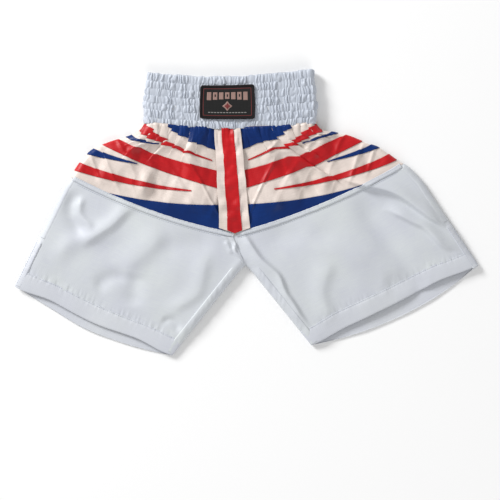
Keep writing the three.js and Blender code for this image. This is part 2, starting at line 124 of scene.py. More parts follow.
# The flag's shapes on one side. The centre strip's edge is 0 across and the side is 1. The waist seam is 0
# down and the yoke seam is 1. They are the part's, but for the inner ends of blue_side_upper and
# blue_side_lower, the outer end of blue_lower and its lower edge, which stops just short of the seam.
RAY_TIP = 0.012
FLAG = {
    "blue_upper": dict(inner=(0, 0, 0.22), outer=(0.65, 0, RAY_TIP), colour="blue"),
    "red_ray_upper": dict(inner=(0.04, 0.325, 0.325 + RAY_TIP), outer=(0.98, 0, 0.1), colour="red"),
    "blue_side_upper": dict(inner=(0.64, 0.22, 0.22 + RAY_TIP), outer=(1, 0.19, 0.26), colour="blue"),
    "red_bar": dict(inner=(0, 0.43, 0.6), outer=(1, 0.34, 0.52), colour="red"),
    "blue_side_lower": dict(inner=(0.66, 0.565, 0.565 + RAY_TIP), outer=(1, 0.62, 0.71), colour="blue"),
    "red_ray_lower": dict(inner=(0.2, 0.675, 0.675 + RAY_TIP), outer=(1, 0.82, 0.92), colour="red"),
    "blue_lower": dict(inner=(0, 0.745, 0.995), outer=(0.77, 1 - RAY_TIP, 0.995), colour="blue"),
}

waist_low, waist_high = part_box("waistband_casing")
ORIGIN = ((waist_low.x + waist_high.x) / 2, waist_low.y)


# ---- Small mathematics ----------------------------------------------------------------------------------
def mix(a, b, t):
    return a + (b - a) * t


def smooth(value, start=0.0, end=1.0):
    t = np.clip((value - start) / (end - start), 0, 1)
    return t * t * (3 - 2 * t)


def lattice(ix, iy, seed):
    """A repeatable value from -1 to 1 for each pair of whole numbers."""
    n = (ix * 374761393 + iy * 668265263 + seed * 974634777) & 0x7FFFFFFF
    n = ((n ^ (n >> 13)) * 1274126177) & 0x7FFFFFFF
    return ((n ^ (n >> 16)) & 0xFFFF) / 32767.5 - 1


def noise(x, y, seed=0):
    """Smooth noise from -1 to 1 with a grain of 1."""
    x, y = np.broadcast_arrays(np.asarray(x, float), np.asarray(y, float))
    ix, iy = np.floor(x).astype(np.int64), np.floor(y).astype(np.int64)
    fx, fy = smooth(x - ix), smooth(y - iy)
    low = mix(lattice(ix, iy, seed), lattice(ix + 1, iy, seed), fx)
    high = mix(lattice(ix, iy + 1, seed), lattice(ix + 1, iy + 1, seed), fx)
    return mix(low, high, fy)


def lengths(path):
    """Distance along a path at each of its points."""
    return np.concatenate([[0], np.cumsum(np.linalg.norm(np.diff(path, axis=0), axis=1))])


def along(path, share):
    """The point at a share of a path's length."""
    run = lengths(path)
    at = np.asarray(share) * run[-1]
    return np.stack([np.interp(at, run, path[:, k]) for k in range(path.shape[1])], -1)


def bezier(points, steps=60):
    t = np.linspace(0, 1, steps)[:, None]
    points = [np.array(p, float) for p in points]
    while len(points) > 1:
        points = [mix(p, q, t) for p, q in zip(points, points[1:])]
    return points[0]


def through(points, steps=8):
    """A smooth curve through points."""
    points = np.array(points, float)
    ends = np.vstack([2 * points[0] - points[1], points, 2 * points[-1] - points[-2]])
    t = np.linspace(0, 1, steps, endpoint=False)[:, None]
    parts = []
    for a, b, c, d in zip(ends, ends[1:], ends[2:], ends[3:]):
        bend = a - 2.5 * b + 2 * c - d / 2 + t * (1.5 * (b - c) + (d - a) / 2)
        parts.append(b + t * ((c - a) / 2 + t * bend))
    return np.vstack([*parts, points[-1:]])


def coons(top, bottom, inner, outer, a, d):
    """A smooth grid over four edges: a runs from the inner edge to the outer one, d from the top down."""
    a, d = np.broadcast_arrays(a, d)
    across, down = a[..., None], d[..., None]
    corners = mix(mix(top[0], top[-1], across), mix(bottom[0], bottom[-1], across), down)
    sides = mix(along(inner, d), along(outer, d), across)
    return mix(along(top, a), along(bottom, a), down) + sides - corners


def distance_to(path, x, y):
    """Distance from each point to a path."""
    best = np.full(x.shape, 1e9)
    for (px, py), (qx, qy) in zip(path, path[1:]):
        dx, dy = qx - px, qy - py
        t = np.clip(((x - px) * dx + (y - py) * dy) / max(dx * dx + dy * dy, 1e-9), 0, 1)
        best = np.minimum(best, (x - px - t * dx) ** 2 + (y - py - t * dy) ** 2)
    return np.sqrt(best)


# ---- Layout ---------------------------------------------------------------------------------------------
class Leg:
    """One leg's frame, edges and seams. u runs out along the fold line from the crotch, v down to the hem."""

    def __init__(self, name, side, splay, thigh, length, hem_in, hem_out, flank, seam_end, sag, bow):
        self.name, self.side, self.length, self.thigh = name, side, length, thigh
        self.hem_in, self.hem_out = hem_in, hem_out
        self.bow = dict(zip(("front", "back"), bow))
        slope = math.radians(splay)
        self.out = np.array([side * math.cos(slope), math.sin(slope)])
        self.down = np.array([side * math.sin(slope), -math.cos(slope)])
        corner = np.array([side * WAIST_WIDTH / 2, 0.0])
        from_corner = lambda out, down: corner + (side * out, -down)
        self.silhouette = through([corner, *[from_corner(*f) for f in flank], self.at(thigh, 0)])
        gap = np.linalg.norm(self.silhouette - from_corner(*seam_end), axis=1)
        count = int(np.argmin(gap)) + 1
        self.yoke_side, self.hip_side = self.silhouette[:count], self.silhouette[count - 1:]
        end = self.yoke_side[-1]
        self.seam = bezier([YOKE_TIP, (YOKE_TIP + end) / 2 + sag, end])
        self.outer_edge = np.vstack([self.hip_side, self.at(hem_out, length)])
        below_crotch = self.at(self.inner(9), 9)
        self.inner_edge = np.vstack([YOKE_TIP, CROTCH, below_crotch, self.at(hem_in, length)])
        self.closed = [self.silhouette, self.outer_edge, self.inner_edge[1:]]

    def at(self, u, v):
        u, v = np.broadcast_arrays(np.asarray(u, float), np.asarray(v, float))
        return CROTCH + u[..., None] * self.out + v[..., None] * self.down

    def inner(self, v):
        return mix(CROTCH_CLEARANCE, self.hem_in, v / self.length)

    def outer(self, v):
        return mix(self.thigh, self.hem_out, v / self.length)

    def outer_line(self, start, end, count):
        """The outer edge from one distance below the fold line to another."""
        v = np.linspace(start, end, count)
        return self.at(self.outer(v), v)

    def foot(self, layer, s):
        """v of a layer's hem foot at a share of the way out."""
        shows = BACK_HEM_SHOWS * smooth(s, 0.0, 0.25) * (1 - smooth(s, 0.75, 1)) if layer == "front" else 0
        return self.length - shows + self.bow[layer] * 4 * s * (1 - s)

    def local(self, x, y):
        """(u, v) of a point."""
        p = np.stack([x - CROTCH[0], y - CROTCH[1]], -1)
        return p @ self.out, p @ self.down


YOKE_TIP = np.array([YOKE_POINT, -FRONT_RISE], float)
CROTCH = np.array([CROTCH_SHIFT, -RISE], float)
WAIST_CENTRE = np.array([CENTRE_FRONT, 0], float)
legs = {name: Leg(name, **values) for name, values in LEGS.items()}

CREASE_DEPTH = 1.9
# Creases of the front legs: from, to, width across, height, and how much steeper its second side is.
# The second side is the one on the left of the way from start to end.
CREASES = {
    "left": [((192, -96), (362, -176), 16, 6.2, -3.6), ((262, -152), (376, -200), 14, 3.6, -3.0),
             ((205, -135), (300, -262), 22, -2.8, 0), ((16, -186), (78, -268), 11, 3.2, 2.4),
             ((70, -256), (130, -328), 9, 3.2, 2.4), ((120, -150), (236, -250), 30, 2.4, 0),
             ((262, -272), (330, -262), 18, -2.0, 0), ((170, -230), (150, -330), 20, 2.0, 1.6),
             ((60, -200), (190, -190), 20, -1.4, 0)],
    "right": [((-275, -116), (-253, -188), 13, -2.4, 0), ((-250, -192), (-160, -138), 16, 2.8, -2.0),
              ((-256, -122), (-240, -176), 12, 2.2, 1.6), ((-300, -205), (-190, -180), 18, 1.8, 0),
              ((-228, -267), (-177, -245), 13, -1.8, 0), ((-86, -322), (-40, -212), 18, 1.8, -1.6),
              ((-160, -250), (-170, -300), 16, -1.8, 0), ((-30, -200), (-120, -215), 20, -1.5, 0),
              ((-112, -322), (-82, -340), 8, -1.6, 0), ((8, -195), (16, -226), 4, 1.8, 1.5),
              ((-6, -193), (3, -214), 4, 1.4, 1.2), ((-120, -170), (-190, -240), 26, 2.0, 1.6)],
}


def crease(x, y, start, end, width, height, skew):
    """A soft ridge, or a valley where height is negative, that fades at both ends."""
    (ax, ay), (bx, by) = start, end
    run = math.hypot(bx - ax, by - ay)
    ux, uy = (bx - ax) / run, (by - ay) / run
    t = ((x - ax) * ux + (y - ay) * uy) / run
    across = (y - ay) * ux - (x - ax) * uy + 0.12 * run * noise(t * 2.2, start[0], 5)
    narrow = np.where(across * (skew if skew else 1) > 0, width / max(abs(skew), 1), width)
    fade = smooth(t, -0.12, 0.22) * (1 - smooth(t, 0.72, 1.12))
    return CREASE_DEPTH * height * fade * np.exp(-((across / narrow) ** 2))


def front_height(leg, x, y):
    """Height of the front's outer surface off the floor, without the yoke's pleats."""
    drop = -y
    v = leg.local(x, y)[1]
    high = BODY_DEPTH - 0.6 - 1.2 * smooth(drop, 0, 230) - 2.0 * smooth(drop, 190, 390)
    high = high - 5.5 * smooth(v, leg.length - 75, leg.length + 15)
    gap = np.minimum.reduce([distance_to(path, x, y) for path in leg.closed])
    turn = np.clip(gap / EDGE_RADIUS, 0, 1)
    folds = sum(crease(x, y, *c) for c in CREASES[leg.name])
    folds = folds + 1.6 * noise(x / 46, y / 60, 3) * smooth(drop, 120, 230)
    calm = smooth(gap, 2, 20)
    return EDGE_HEIGHT + (high - EDGE_HEIGHT) * np.sqrt(1 - (1 - turn) ** 2) + folds * calm


def back_height(leg, x, y):
    """Height of the back's lower surface off the floor."""
    gap = np.minimum.reduce([distance_to(path, x, y) for path in leg.closed])
    turn = np.clip(gap / BACK_RADIUS, 0, 1)
    rise = (EDGE_HEIGHT - 1.2 - BACK_HEIGHT) * (1 - np.sqrt(1 - (1 - turn) ** 2))
    return BACK_HEIGHT + rise + (0.5 + 0.5 * noise(x / 40, y / 55, 21)) * smooth(gap, 4, 20) * 1.2


def settle(points):
    """The waist's sag in the middle and its slight narrowing at the top."""
    x, y, z = points[..., 0], points[..., 1], points[..., 2]
    near = smooth(y, -75, 0)
    top = smooth(y, 20, WAISTBAND_HEIGHT)
    half = WAIST_WIDTH / 2
    sag = near * (-5 + 9 * np.clip(np.abs(x) / half, 0, 1.2) ** 2)
    lean = top * 4.0 * np.clip(x / half, -0.4, 1.1)
    narrow = 1 - 0.03 * top + 0.012 * np.sin(math.pi * smooth(y, 0, WAISTBAND_HEIGHT))
    return np.stack([x * narrow, y + sag + lean, z], -1)


def place(points):
    """Garment millimetres to the row frame's metres."""
    settled = settle(np.asarray(points, float))
    return settled * 0.001 + np.array([ORIGIN[0], ORIGIN[1], 0.0])


# ---- Meshes ---------------------------------------------------------------------------------------------
def build(name, points, quads, material, uv):
    """A smooth mesh of quads from garment millimetres. uv is each vertex's place in the cloth, in metres."""
    mesh = bpy.data.meshes.new(name)
    mesh.vertices.add(len(points))
    mesh.vertices.foreach_set("co", place(points).astype(np.float32).ravel())
    mesh.loops.add(quads.size)
    mesh.loops.foreach_set("vertex_index", quads.astype(np.int32).ravel())
    mesh.polygons.add(len(quads))
    mesh.polygons.foreach_set("loop_start", np.arange(0, quads.size, 4, dtype=np.int32))
    mesh.polygons.foreach_set("use_smooth", np.ones(len(quads), bool))
    mesh.update(calc_edges=True)
    layer = mesh.uv_layers.new(name="cloth")
    layer.data.foreach_set("uv", uv[quads.ravel()].astype(np.float32).ravel())
    mesh.materials.append(material)
    piece = bpy.data.objects.new(name, mesh)
    bpy.context.scene.collection.objects.link(piece)
    return piece


def normals_of(grid, wrap=False):
    """Unit normals of a grid of points; the columns close on themselves where wrap is true."""
    padded = np.concatenate([grid[:, -1:], grid, grid[:, :1]], 1) if wrap else grid
    down, across = np.gradient(padded, axis=0), np.gradient(padded, axis=1)
    normal = np.cross(across, down)
    normal /= np.maximum(np.linalg.norm(normal, axis=-1, keepdims=True), 1e-9)
    return normal[:, 1:-1] if wrap else normal


def grid_quads(rows, cols, wrap=False):
    i, j = np.meshgrid(np.arange(rows - 1), np.arange(cols if wrap else cols - 1), indexing="ij")
    k = (j + 1) % cols
    return np.stack([i * cols + j, (i + 1) * cols + j, (i + 1) * cols + k, i * cols + k], -1).reshape(-1, 4)


def shell(name, outer, inner, material, uv, wrap=False):
    """A closed thin sheet between two grids of points."""
    rows, cols = outer.shape[:2]
    count = rows * cols
    face = grid_quads(rows, cols, wrap)
    quads = [face, face[:, ::-1] + count]
    index = np.arange(count).reshape(rows, cols)
    rims = [(index[0], 1), (index[-1], -1)]
    if not wrap:
        rims += [(index[:, 0], -1), (index[:, -1], 1)]
    for rim, way in rims:
        a, b = (rim, np.roll(rim, -1)) if wrap else (rim[:-1], rim[1:])
        side = np.stack([a, b, b + count, a + count], -1)
        quads.append(side if way > 0 else side[:, ::-1])
    points = np.concatenate([outer.reshape(-1, 3), inner.reshape(-1, 3)])
    quads = np.concatenate(quads)
    p = points[quads]
    volume = np.einsum("ij,ij->", p[:, 0], np.cross(p[:, 1], p[:, 2]) + np.cross(p[:, 2], p[:, 3]))
    if volume < 0:
        quads = quads[:, ::-1]
    places = np.concatenate([uv.reshape(-1, 2)] * 2) * 0.001
    return build(name, points, quads, material, places)


def panel(name, grid, material, uv, thickness=CLOTH, lift=0.0, up=1):
    """A sheet whose outer face is the grid moved by lift along its normals. up is -1 on the back."""
    normal = normals_of(grid)
    if normal[..., 2].mean() * up < 0:
        normal = -normal
    outer = grid + normal * lift
    return shell(name, outer, outer - normal * thickness, material, uv)


def cloth_uv(grid):
    """Distances along a grid's rows and columns, in millimetres."""
    step_x = np.linalg.norm(np.diff(grid, axis=1), axis=-1).mean(0)
    step_y = np.linalg.norm(np.diff(grid, axis=0), axis=-1).mean(1)
    u, v = np.concatenate([[0], np.cumsum(step_x)]), np.concatenate([[0], np.cumsum(step_y)])
    return np.stack(np.meshgrid(u, v), -1)


def stitches(name, lines, material, length=2.6, gap=1.3, radius=0.34):
    """Rows of thread along lines on a surface. A line is (points, normals)."""
    ring = np.array([(1, 0), (0, 1), (-1, 0), (0, -1)], float)
    stations = [(-0.5, 0.35), (-0.3, 1), (0.3, 1), (0.5, 0.35)]
    points, quads = [], []
    for path, normal in lines:
        run = lengths(path)
        count = int(run[-1] // (length + gap))
        if count < 1:
            continue
        middle = (np.arange(count) + 0.5) * run[-1] / count
        at = lambda values, s: np.stack([np.interp(s, run, values[:, k]) for k in range(3)], -1)
        for s in middle:
            centre, n = at(path, s), at(normal, s)
            tangent = at(path, s + 0.4) - at(path, s - 0.4)
            tangent /= np.linalg.norm(tangent)
            n = n - tangent * (n @ tangent)
            n /= np.linalg.norm(n)
            side = np.cross(tangent, n)
            base = len(points)
            for share, size in stations:
                for p, q in ring:
                    across = (side * p + n * q * 0.8) * radius * size
                    points.append(centre + tangent * share * length + across)
            for k in range(3):
                for j in range(4):
                    a, b = base + 4 * k + j, base + 4 * k + (j + 1) % 4
                    quads.append((a, b, b + 4, a + 4))
            quads.append((base + 3, base + 2, base + 1, base))
            quads.append((base + 12, base + 13, base + 14, base + 15))
    points = np.array(points)
    return build(name, points, np.array(quads), material, points[:, :2] * 0.001)


def surface_line(height, xy, lift):
    """A line on a height field: its points, raised by lift, and their normals."""
    x, y = xy[:, 0], xy[:, 1]
    z = height(x, y)
    dx = (height(x + 0.5, y) - height(x - 0.5, y))
    dy = (height(x, y + 0.5) - height(x, y - 0.5))
    normal = np.stack([-dx, -dy, np.ones_like(dx)], -1)
    normal /= np.linalg.norm(normal, axis=1, keepdims=True)
    return np.stack([x, y, z], -1) + normal * lift, normal


def finish_piece(piece, body, slot, *nodes):
    """Rides on a body and stands for the CAD nodes. slot is not used."""
    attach(piece, body)
    if nodes:
        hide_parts(*nodes)


# ---- Materials ------------------------------------------------------------------------------------------
def cloth_material(name, colour, tone_and_painted_shade, roughness, weave=0.00055, sheen=0.15, crumple=0.25, bump=0.25,
                   coat=0.0, thread=0.06, specular=0.5):
    """Woven cloth: two sets of yarns with painted shade in the gaps between them, slubs, soft crumpling and
    broad patches of a darker colour, which on the white, ivory and red cloths are painted shade standing in
    for the shading of folds.
    """
    material = bpy.data.materials.new(name)
    material.use_nodes = True
    nodes, links = material.node_tree.nodes, material.node_tree.links
    shader = nodes["Principled BSDF"]
    shader.inputs["Sheen Weight"].default_value = sheen
    shader.inputs["Sheen Roughness"].default_value = 0.4
    shader.inputs["Specular IOR Level"].default_value = specular
    shader.inputs["Coat Weight"].default_value = coat
    shader.inputs["Coat Roughness"].default_value = 0.35
    uv = nodes.new("ShaderNodeUVMap")
    uv.uv_map = "cloth"

    def scaled(x, y):
        node = nodes.new("ShaderNodeMapping")
        node.inputs["Scale"].default_value = (x, y, 1)
        links.new(uv.outputs["UV"], node.inputs["Vector"])
        return node.outputs["Vector"]

    def noise_node(vector, detail=3.0, rough=0.5):
        node = nodes.new("ShaderNodeTexNoise")
        node.inputs["Scale"].default_value = 1
        node.inputs["Detail"].default_value = detail
        node.inputs["Roughness"].default_value = rough
        links.new(vector, node.inputs["Vector"])
        return node.outputs["Fac"]

    def wave_node(direction):
        node = nodes.new("ShaderNodeTexWave")
        node.bands_direction = direction
        node.inputs["Scale"].default_value = 1 / (weave * 20)
        node.inputs["Distortion"].default_value = 0.6
        node.inputs["Detail"].default_value = 1
        links.new(uv.outputs["UV"], node.inputs["Vector"])
        return node.outputs["Fac"]

    def maths(kind, a, b):
        node = nodes.new("ShaderNodeMath")
        node.operation = kind
        for socket, value in zip(node.inputs, (a, b)):
            if isinstance(value, (int, float)):
                socket.default_value = value
            else:
                links.new(value, socket)
        return node.outputs[0]

    def blend(factor, a, b):
        node = nodes.new("ShaderNodeMix")
        node.data_type = "RGBA"
        links.new(factor, node.inputs["Factor"])
        for socket, value in ((node.inputs["A"], a), (node.inputs["B"], b)):
            if isinstance(value, tuple):
                socket.default_value = (*value, 1)
            else:
                links.new(value, socket)
        return node.outputs["Result"]

    # Broad noise patches of the darker colour: painted shade for folds on the white, ivory and red cloths;
    # the slub noise is the yarn's own tone.
    broad_tone_and_shade = noise_node(scaled(9, 7), 4)
    slub = noise_node(scaled(40, 900), 2)
    warp, weft = wave_node("X"), wave_node("Y")
    yarns = maths("MULTIPLY", maths("ADD", warp, 0.35), maths("ADD", weft, 0.6))
    tone_and_shade_mask = maths("ADD", maths("MULTIPLY", broad_tone_and_shade, 0.7), maths("MULTIPLY", slub, 0.3))
    ramp = nodes.new("ShaderNodeMapRange")
    ramp.inputs["From Min"].default_value = 0.35
    ramp.inputs["From Max"].default_value = 0.65
    links.new(tone_and_shade_mask, ramp.inputs["Value"])
    # The darker colour goes in where the noise is low: partly painted fold shade, partly the yarn's own tone.
    base = blend(ramp.outputs["Result"], tone_and_painted_shade, colour)
    # Painted shade in the gaps between the yarns: a colour 18 % darker, mixed in by thread where the yarns'
    # bump height is low.
    yarn_gap_shade = tuple(c * 0.82 for c in colour)
    yarn_gap_shade_share = maths("MULTIPLY", maths("SUBTRACT", 1.5, yarns), thread)
    base = blend(yarn_gap_shade_share, base, yarn_gap_shade)
    links.new(base, shader.inputs["Base Color"])
    rough = nodes.new("ShaderNodeMapRange")
    rough.inputs["To Min"].default_value = roughness - 0.07
    rough.inputs["To Max"].default_value = roughness + 0.09
    links.new(slub, rough.inputs["Value"])
    links.new(rough.outputs["Result"], shader.inputs["Roughness"])
    fine = nodes.new("ShaderNodeBump")
    fine.inputs["Strength"].default_value = bump
    fine.inputs["Distance"].default_value = 0.00012
    links.new(yarns, fine.inputs["Height"])
    wrinkle = nodes.new("ShaderNodeBump")
    wrinkle.inputs["Strength"].default_value = crumple
    wrinkle.inputs["Distance"].default_value = 0.0016
    crumples = noise_node(scaled(70, 45), 3)
    links.new(crumples, wrinkle.inputs["Height"])
    links.new(fine.outputs["Normal"], wrinkle.inputs["Normal"])
    links.new(wrinkle.outputs["Normal"], shader.inputs["Normal"])
    return material


# Each cloth: its name, colour, the darker colour mixed into it in broad patches (painted fold shade on white,
# ivory and red), roughness, and what differs from plain cloth.
CLOTHS = {
    "white": ("white_microfibre", (0.655, 0.69, 0.695), (0.575, 0.595, 0.665), 0.5, dict(crumple=0.2)),
    "hem": ("hem_microfibre", (0.655, 0.68, 0.71), (0.59, 0.61, 0.675), 0.5, dict(crumple=0.25)),
    "band": ("band_microfibre", (0.56, 0.60, 0.675), (0.46, 0.50, 0.575), 0.52, dict(crumple=0.25)),
    "ivory": ("ivory_satin", (0.85, 0.735, 0.68), (0.62, 0.545, 0.49), 0.4,
              dict(crumple=0.5, coat=0.04, sheen=0.05, specular=0.35)),
    "red": ("red_satin", (0.60, 0.006, 0.010), (0.36, 0.002, 0.006), 0.44,
            dict(crumple=0.4, coat=0.03, sheen=0.0, specular=0.3)),
    "blue": ("blue_satin", (0.004, 0.032, 0.17), (0.003, 0.018, 0.105), 0.38,
             dict(crumple=0.5, coat=0.05, sheen=0.0, specular=0.15)),
    "elastic": ("elastic_tape", (0.78, 0.78, 0.74), (0.7, 0.7, 0.66), 0.8, dict(weave=0.0012, bump=0.6)),
    "patch": ("patch_twill", (0.011, 0.012, 0.012), (0.018, 0.017, 0.017), 0.75,
              dict(weave=0.0009, bump=0.6, sheen=0.0, specular=0.2)),
    "border": ("patch_edging", (0.008, 0.006, 0.007), (0.014, 0.010, 0.011), 0.7,
               dict(weave=0.001, bump=0.7, sheen=0.0, specular=0.2)),
    "label": ("label_satin", (0.85, 0.85, 0.84), (0.8, 0.8, 0.8), 0.5, {}),
    "thread": ("sewing_thread", (0.50, 0.54, 0.62), (0.42, 0.46, 0.55), 0.55, dict(weave=0.0004, bump=0.5)),
    "dull_red": ("dull_red_thread", (0.20, 0.02, 0.02), (0.13, 0.012, 0.012), 0.65,
                 dict(weave=0.0006, bump=0.6)),
    "tan": ("tan_thread", (0.34, 0.21, 0.18), (0.28, 0.17, 0.145), 0.6, dict(weave=0.0006, bump=0.6)),
    "grey": ("grey_thread", (0.30, 0.29, 0.28), (0.24, 0.23, 0.22), 0.6, dict(weave=0.0006, bump=0.6)),
}
MATERIALS = {slot: cloth_material(*plain, **differs) for slot, (*plain, differs) in CLOTHS.items()}


# ---- Waistband ------------------------------------------------------------------------------------------
BAND_RADIUS = 6.9  # of the line midway through the casing, at the band's ends
BAND_STRAIGHT = WAIST_WIDTH / 2 - WAIST_DEPTH / 2
BAND_TURN = math.pi * BAND_RADIUS
BAND_TOTAL = 4 * BAND_STRAIGHT + 2 * BAND_TURN
BAND_COLUMNS = 1000
PITCH = WAISTBAND_HEIGHT / CHANNELS
GATHER = 5.6  # width of one of the casing's gathers
OUTER_STEPS = np.array([0, 0.06, 0.16, 0.3, 0.44, 0.58, 0.72, 0.85, 0.94])  # rows in a channel, going up
INNER_STEPS = np.array([1, 0.8, 0.5, 0.2])  # and going down again


def from_front(u):
    """Distance round the flattened loop, counted both ways from its middle front."""
    return (u + BAND_TOTAL / 2) % BAND_TOTAL - BAND_TOTAL / 2


def band_loop(u):
    """Point and outward direction, both in x and z, at a distance round the flattened loop."""
    signed = from_front(u)
    way, run = np.sign(signed), np.abs(signed)
    angle = np.clip((run - BAND_STRAIGHT) / BAND_RADIUS, 0, math.pi)
    nx, nz = way * np.sin(angle), np.cos(angle)
    along_back = np.maximum(run - BAND_STRAIGHT - BAND_TURN, 0)
    x = way * (np.minimum(run, BAND_STRAIGHT) - along_back)
    return x + nx * BAND_RADIUS, nz * BAND_RADIUS, nx, nz


def band_surface(u, v, offset):
    x, z, nx, nz = band_loop(u)
    height = z + nz * offset + WAIST_DEPTH / 2 + 0.3
    return np.stack([x + nx * offset, v + 0 * x, np.maximum(height, 0.04)], -1)


def shirring(u, v, seed):
    """Puff of a channel, its gathers and their unevenness. Each row of stitching starts new gathers."""
    sway = 1.1 * noise(u / 19, 3.3, seed + 5)
    level = v + sway * np.sin(math.pi * np.clip(v / WAISTBAND_HEIGHT, 0, 1))
    level = np.clip(level, 0, WAISTBAND_HEIGHT - 0.001)
    row = np.floor(level / PITCH)
    puff = np.sin(math.pi * (level / PITCH - row)) ** 0.6
    bend = 0.8 * noise(u / 11, row * 5.3, seed) + 0.35 * noise(u / 5, v / 5, seed + 1)
    phase = u / GATHER + bend + 0.5 * noise(u / 30, v / 18, seed + 3) + 0.31 * row
    gather = np.floor(phase)
    ridge = np.clip(1 - np.abs(2 * (phase - gather) - 1) ** 1.6, 0, 1)
    size = 0.7 + 0.6 * lattice(gather.astype(np.int64), row.astype(np.int64), seed + 4)
    return puff, ridge * size, noise(u / 9, v / 14, seed + 2)


def under_patch(u, v):
    """1 where the patch holds the waistband flat, falling to 0 round it."""
    wide = smooth(PATCH_WIDTH / 2 + 4 - np.abs(from_front(u) - CENTRE_FRONT), 0, 6)
    tall = smooth(PATCH_HEIGHT / 2 + 4 - np.abs(v - PATCH_Y), 0, 6)
    return wide * tall


def wobble(u, v):
    """How far the casing's stitching strays up or down."""
    return 0.7 * noise(u / 7, v / 9, 17)


def casing_rows(u):
    """Rows up the casing's outer face, over its top fold and down its inner face, and each row's place."""
    rows, places = [], []
    for v in np.append([PITCH * (row + OUTER_STEPS) for row in range(CHANNELS)], WAISTBAND_HEIGHT):
        puff, ridge, coarse = shirring(u, v, 11)
        edge = 1 if 0 < v < WAISTBAND_HEIGHT else 1.8
        height = (0.75 + 0.6 * puff) * ridge * 2.0 + puff * (0.35 + 0.5 * coarse)
        offset = 0.4 + height * (1 - 0.65 * under_patch(u, v))
        rows.append(band_surface(u, v + wobble(u, v) * edge, offset))
        places.append(v)
    fold = WAISTBAND_HEIGHT + 1.3 + 1.3 * noise(u / 7, 9.7, 17)
    rows.append(band_surface(u, fold, 0.3 * noise(u / 4, 0, 31)))
    places.append(WAISTBAND_HEIGHT + 2)
    for v in np.append([PITCH * (row + INNER_STEPS) for row in reversed(range(CHANNELS))], 0):
        puff, ridge, _ = shirring(u, np.clip(v, 0.01, WAISTBAND_HEIGHT - 0.01), 41)
        offset = -(0.75 + puff * 1.1 + 0.5 * ridge * puff)
        rows.append(band_surface(u, v + 0.5 * noise(u / 7, v / 9, 47), offset))
        places.append(2 * WAISTBAND_HEIGHT + 4 - v)
    return np.stack(rows), places


def build_casing(u):
    grid, places = casing_rows(u)
    normal = normals_of(grid, wrap=True)
    if (normal[20, :, 2] * band_loop(u)[3]).sum() < 0:
        normal = -normal
    uv = np.stack(np.meshgrid(u, places), -1)
    casing = shell("waistband_casing_cloth", grid, grid - normal * CLOTH, MATERIALS["band"], uv, wrap=True)
    finish_piece(casing, "hips", "band", "waistband_casing")


def build_elastic(u, row):
    """One row of elastic inside its channel."""
    levels = np.linspace((row - 1) * PITCH + ELASTIC_MARGIN, row * PITCH - ELASTIC_MARGIN, 7)
    faces = []
    for way in (1, -1):
        offsets = [way * (ELASTIC / 2 - 0.15) + 0.12 * np.sin(u * 2.1 + v) for v in levels]
        faces.append(np.stack([band_surface(u, v, offset) for v, offset in zip(levels, offsets)]))
    uv = np.stack(np.meshgrid(u, levels), -1)
    tape = shell(f"waist_elastic_{row}_tape", *faces, MATERIALS["elastic"], uv, wrap=True)
    finish_piece(tape, "hips", "elastic", f"waist_elastic_{row}")


def build_waistband_stitching(u):
    _, _, nx, nz = band_loop(u)
    normal = np.stack([nx, 0 * nx, nz], -1)
    lines = []
    for row in range(1, CHANNELS):
        v = row * PITCH
        _, ridge, _ = shirring(u, v - 0.001, 11)
        path = band_surface(u, v + wobble(u, v), 0.62 + 0.4 * ridge)
        lines.append((np.concatenate([path, path[:1]]), np.concatenate([normal, normal[:1]])))
    thread = stitches("waistband_stitching", lines, MATERIALS["thread"], length=2.2, gap=1.0, radius=0.26)
    finish_piece(thread, "hips", "band")


def build_waistband():
    u = np.linspace(0, BAND_TOTAL, BAND_COLUMNS, endpoint=False)
    build_casing(u)
    for row in range(1, CHANNELS):
        build_elastic(u, row)
    build_waistband_stitching(u)


# ---- Patch and label ------------------------------------------------------------------------------------
def rounded_slab(name, x, y, width, height, z, thickness, slot, radius, columns, rows, wave):
    """A flat piece with a rounded rim, its long side along X, lying at height z."""
    s, t = (np.sin(np.linspace(-1, 1, count) * math.pi / 2) for count in (columns, rows))
    gx, gy = np.meshgrid(x + s * width / 2, y + t * height / 2)
    inset = np.minimum((width / 2 - np.abs(gx - x)) / radius, (height / 2 - np.abs(gy - y)) / radius)
    rim = np.sqrt(1 - (1 - np.clip(inset, 0, 1)) ** 2)
    low = z + wave(gx, gy)
    top = np.stack([gx, gy, low + thickness * (0.25 + 0.75 * rim)], -1)
    return shell(name, top, np.stack([gx, gy, low], -1), MATERIALS[slot], np.stack([gx - x, gy - y], -1))


def patch_wave(x, y):
    """The patch follows the waistband in slight waves."""
    return 0.35 * np.sin((x - CENTRE_FRONT) / 13) + 0.25 * np.sin(y / 9)


def patch_mark(name, x, y, width, height, z, thickness, slot, radius, columns, rows):
    """One woven mark; x and y count from the middle of the patch."""
    mark = rounded_slab(f"patch_{name}", PATCH_X + x, PATCH_Y + y, width, height, z, thickness, slot, radius,
                        columns, rows, patch_wave)
    finish_piece(mark, "hips", "patch")


